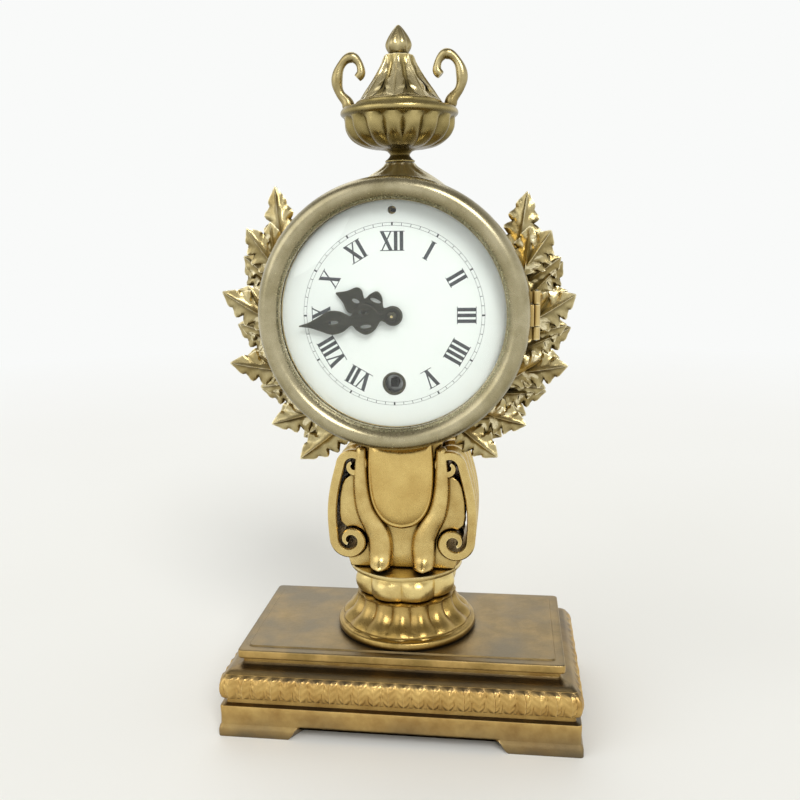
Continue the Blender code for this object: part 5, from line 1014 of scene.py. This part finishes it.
# Sprays: a cast branch up each side of the drum with chased leaves, screwed to the case. The
# left one spreads a little wider than the right one, as bent by hand.
BRANCH_LOW, BRANCH_HIGH = radians(-67), radians(27)
BRANCH_STEM = 0.0018
BRANCH_AHEAD = 0.0080
OUTER_LEAN, REAR_LEAN, FRONT_LEAN, TOP_LEAN = 52, 68, 22, 32
LOWEST_DROOP = 11
RIGHT_SPAN, LEFT_SPAN = 0.0188, 0.0218
LEAF_BREADTH = 0.0138
LEAF_CUP = 0.16
LEAF_LOBES = 5
LEAF_THICK = 0.0009
OUTER_LEAVES, REAR_LEAVES, FRONT_LEAVES = 8, 7, 4
run = drum_radius + gap + BRANCH_STEM


def on_branch(share):
    """The angle round the drum at this share of the branch."""
    return BRANCH_LOW + (BRANCH_HIGH - BRANCH_LOW) * share


def stem_place(u, v):
    """A knobbly stem that thins toward its upper end."""
    angle, around = on_branch(v), FULL * u
    thick = BRANCH_STEM * (1 - 0.55 * v) * (1 + 0.10 * sin(60 * v))
    radius = run + thick * cos(around)
    return radius * cos(angle), radius * sin(angle), BRANCH_AHEAD + thick * sin(around)


def sprout(spray, angle, lean, ahead, tilt, length, breadth, curl):
    """A leaf that starts on the branch at this angle of the drum and leans out from it. Lean
    and tilt are in degrees."""
    place = Matrix.Translation((run * cos(angle), run * sin(angle), ahead))
    place = place @ Matrix.Rotation(angle + pi / 2 - radians(lean), 4, "Z")
    place = place @ Matrix.Rotation(radians(-tilt), 4, "Y")
    gather(spray, leaf(length, breadth, LEAF_LOBES, curl, LEAF_CUP, LEAF_THICK), place)


for name, side, span in (("right", 1, RIGHT_SPAN), ("left", -1, LEFT_SPAN)):
    spray = closed(laid(12, 48, stem_place))
    for i in range(OUTER_LEAVES):
        share = i / (OUTER_LEAVES - 1)
        length = span * (1.04 if i == 0 else 0.90 + 0.18 * sin(pi * share))
        lean = OUTER_LEAN + (LOWEST_DROOP if i == 0 else 0)
        forward = i % 2 or i == 0
        ahead = BRANCH_AHEAD + BRANCH_STEM * (0.2 if forward else -0.4)
        angle, tilt = on_branch(0.03 + 0.87 * share), 20 if forward else -14
        sprout(spray, angle, lean, ahead, tilt, length, LEAF_BREADTH, 0.30)
    ahead = BRANCH_AHEAD - BRANCH_STEM * 1.1
    for i in range(REAR_LEAVES):
        angle = on_branch(0.10 + 0.87 * i / REAR_LEAVES)
        sprout(spray, angle, REAR_LEAN, ahead, -4, span * 0.80, LEAF_BREADTH * 0.9, 0.20)
    ahead = BRANCH_AHEAD + BRANCH_STEM * 0.6
    for i in range(FRONT_LEAVES):
        angle = on_branch(0.08 + 0.80 * i / (FRONT_LEAVES - 1))
        sprout(spray, angle, FRONT_LEAN, ahead, 14, span * 0.90, LEAF_BREADTH * 0.85, 0.30)
    angle = BRANCH_HIGH - radians(3)
    sprout(spray, angle, TOP_LEAN, BRANCH_AHEAD, 0, span * 1.2, LEAF_BREADTH * 0.95, 0.20)
    bmesh.ops.transform(spray, matrix=Matrix.Scale(side, 4, (1, 0, 0)), verts=spray.verts)
    add_piece(f"leaf_spray_{name}", upright(spray), leaf_gilt, "gilt_brass", f"branch_{name}")


# Crest and urn: a concave foot on the drum, a gadrooned bowl, a leafy lid, two curled
# handles and a bud, all drawn down by one thin rod.
# The foot keeps its height up to the first share of its radius. Over the second share it bends
# down to lie on the drum.
CREST_FLAT, CREST_BENT = 0.30, 0.70
low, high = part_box("drum_crest")
middle_y = (low.y + high.y) / 2


def on_axis(bm):
    """Move a shape turned about z back to the urn's own axis."""
    bmesh.ops.translate(bm, vec=(0, middle_y, 0), verts=bm.verts)
    return bm


crest_shares = [(1.0, 0.34), (1.0, 0.44), (0.93, 0.52), (0.72, 0.62), (0.50, 0.76), (0.34, 0.90)]
crest_shares += [(0.28, 1.0)]
r, h = high.x, high.z - low.z
profile = [(0, low.z), (r, low.z), *scaled(flowing(crest_shares, 4), r, h, low.z), (0, high.z)]
crest = lobed(spun(profile, 96), low.z + h * 0.55, high.z - h * 0.02, count=12, depth=0.10, power=0.6)
crown = dial_z + drum_radius + gap
for vert in on_axis(crest).verts:
    drum_top = dial_z + sqrt(seat_radius**2 - vert.co.x**2)
    out = hypot(vert.co.x, vert.co.y - middle_y) / r
    bent = max(0, min(1, (out - CREST_FLAT) / CREST_BENT))
    vert.co.z = max(vert.co.z - (crown - drum_top) * bent, drum_top)
add_piece("crest_foot", crest, crest_gilt, "aged_gilt_brass", "drum_crest")

low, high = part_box("urn_bowl")
r, h = high.x, high.z - low.z
stalk_shares = [(0.25, 0.0), (0.255, 0.03), (0.21, 0.07), (0.17, 0.14), (0.22, 0.21)]
cup_shares = [(0.30, 0.24), (0.60, 0.29), (0.82, 0.42), (0.93, 0.60), (0.95, 0.78)]
rim_shares = [(0.95, 0.83), (1.0, 0.88), (1.0, 0.94), (0.96, 1.0)]
profile = [(0, low.z), *scaled(flowing(stalk_shares, 4), r, h, low.z)]
profile += scaled(flowing(cup_shares, 6) + flowing(rim_shares, 3), r, h, low.z) + [(0, high.z)]
bowl = lobed(spun(profile, 160), low.z + h * 0.22, low.z + h * 0.83, count=16, depth=0.13, power=0.5)
add_piece("gadrooned_bowl", on_axis(bowl), urn_gilt, "gilt_brass", "urn_bowl")

LID_LEAVES = 8
LID_LEAF_RISE = 0.0002
low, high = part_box("urn_lid")
r, h = high.x, high.z - low.z
lid_shares = [(1.0, 0.0), (1.0, 0.09), (0.88, 0.17), (0.74, 0.33), (0.58, 0.52), (0.45, 0.71)]
lid_shares += [(0.36, 0.88), (0.34, 1.0)]
profile = [(0, low.z), *scaled(flowing(lid_shares, 5), r, h, low.z), (0, high.z)]
lid = lobed(spun(profile, 128), low.z + h * 0.12, high.z + h * 0.05, count=8, depth=0.16, power=0.5)
slope = scaled(flowing(lid_shares, 5), r, h)
for i in range(LID_LEAVES):
    unit = leaf(1.0, r * 0.66, lobes=3, curl=0, cup=LEAF_CUP, thick=0, relief=0.10, rows=14, columns=10)
    for vert in unit.verts:
        share = 1 - min(max(vert.co.x, 0), 1)
        radius, height = slope[round((0.97 - 0.78 * share) * (len(slope) - 1))]
        vert.co = (radius + LID_LEAF_RISE + vert.co.z, vert.co.y * (radius / r), low.z + height)
    gather(lid, unit, Matrix.Rotation(FULL * i / LID_LEAVES, 4, "Z"))
add_piece("leafy_lid", on_axis(lid), urn_gilt, "gilt_brass", "urn_lid")

low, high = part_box("urn_bud")
r, h = high.x, high.z - low.z
bud_shares = [(0.0, 0.0), (0.62, 0.0), (0.78, 0.08), (0.96, 0.24), (0.97, 0.38), (0.78, 0.58)]
bud_shares += [(0.46, 0.80), (0.16, 0.96), (0.0, 1.0)]
bud = spun(scaled(flowing(bud_shares, 5), r, h, low.z), 96)
bud = lobed(bud, low.z + h * 0.08, high.z, count=6, depth=0.18, power=0.7)
add_piece("lid_bud", on_axis(bud), leaf_gilt, "gilt_brass", "urn_bud")

HANDLE_START, HANDLE_OUT, HANDLE_UP = 0.01765, 0.0061, 0.0170
HANDLE_THICK = 0.0017
low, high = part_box("urn_handle_right")
curl_shares = [(0.00, 0.00), (0.10, 0.14), (0.50, 0.32), (0.66, 0.54), (0.52, 0.78), (0.14, 0.96)]
curl_shares += [(-0.30, 1.00), (-0.64, 0.88), (-0.74, 0.70), (-0.52, 0.60)]
path = flowing([(HANDLE_START + HANDLE_OUT * a, low.z + HANDLE_UP * b) for a, b in curl_shares], 6)
last = len(path) - 1


def handle_place(u, v):
    """A rod that thins toward its curl, with a swelling here and there like a leaf stalk."""
    j = round(v * last)
    along = heading(path, j) if j else Vector((0, 1))
    across = Vector((along.y, -along.x))
    thick = HANDLE_THICK * (1.15 - 0.35 * v) * (1 + 0.15 * sin(7 * pi * v))
    point = Vector(path[j]) + across * thick * cos(FULL * u)
    return point.x, middle_y + thick * sin(FULL * u), point.y


add_pair("handle_curl", closed(laid(16, last, handle_place)), leaf_gilt, "urn_handle")


# Rear cover: a dish pressed from brass sheet and gilded, hinged at the right like the bezel.
# A small turned knob near its free edge is riveted through it.
COVER_THICK = 0.0012
COVER_SWELL = 0.0022
KNOB_RADIUS = 0.0026
KNOB_LENGTH = 0.0052
low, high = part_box("rear_cover")
r, flat = -low.x, behind - gap
dish, outside = r * 0.72, flat - COVER_THICK
profile = [(0, flat - COVER_SWELL), (dish, flat), (r, flat), (r, flat - COVER_THICK * 0.5)]
profile += [(r * 0.995, outside), (dish + COVER_THICK, outside)]
bulge = [(dish, flat - COVER_THICK * 1.2), (dish - COVER_THICK, outside - COVER_SWELL)]
profile += flowing([*bulge, (dish * 0.6, outside - COVER_SWELL * 1.15)], 4)
profile += [(0, outside - COVER_SWELL * 1.3)]
cover = spun(profile, 128)
knob_shares = [(0.0, 0.0), (0.46, 0.0), (0.46, 0.38), (0.72, 0.46), (1.0, 0.66), (0.86, 0.90), (0.0, 1.0)]
knob = spun(scaled(knob_shares, KNOB_RADIUS, -KNOB_LENGTH), 32)
gather(cover, knob, Matrix.Translation((-r * 0.88, 0, flat - COVER_THICK / 2)))
add_piece("rear_dish", upright(cover), shield_gilt, "gilt_brass", "rear_cover", body="rear_door")


# Hinge screws: two slotted steel screws hold each hinge leaf to the drum. Their low heads
# stand on the leaf's strap, each slot stopped at its own angle.
SCREW_HEAD = 0.0012
SCREW_THICK = 0.0005
SLOT_LONG, SLOT_WIDE = 0.8, 0.14
STRAP_MIDDLE = 0.0012
corners = [(1, 1), (-1, 1), (-1, -1), (1, -1)]
slot_line = [(a * SCREW_HEAD * SLOT_LONG, b * SCREW_HEAD * SLOT_WIDE) for a, b in corners]
for name in ("bezel_hinge_leaf", "rear_hinge_leaf"):
    low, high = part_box(name)
    strap_x, strap_y = low.x + STRAP_MIDDLE, (low.y + high.y) / 2
    heads = bmesh.new()
    for level, angle in ((0.28, 0.5), (-0.28, 1.9)):
        head = plate([oval(0, 0, SCREW_HEAD, SCREW_HEAD, 28), slot_line], 0, SCREW_THICK, SOFT_EDGE)
        place = Matrix.Translation((strap_x, strap_y, (low.z + high.z) / 2 + (high.z - low.z) * level))
        facing = Matrix.Rotation(pi / 2, 4, "Y") @ Matrix.Rotation(angle, 4, "Z")
        gather(heads, head, place @ facing)
    add_piece(name.replace("leaf", "screws"), heads, grey_steel, "bright_steel")


# Movement and hinges: the frame's own pieces. Plates and wheels are cut from sheet brass and
# lacquered, arbors, springs and screws are polished steel, and the squares that take the key
# are blackened.
finishes = {
    "gilt_brass": cast_gilt,
    "aged_gilt_brass": base_gilt,
    "lacquered_brass": plain_brass,
    "bright_steel": grey_steel,
    "bronzed_steel": dark_bronze,
    "white_enamel": enamel,
    "clear_glass": clear,
}
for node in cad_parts.values():
    for spot in node.material_slots:
        spot.material = finishes[spot.material.name.split(".")[0]]
special = {"winding_arbor": black_steel, "regulator_arbor": black_steel, "hand_collet": dark_bronze}
for name, finish in special.items():
    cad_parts[name].material_slots[0].material = finish
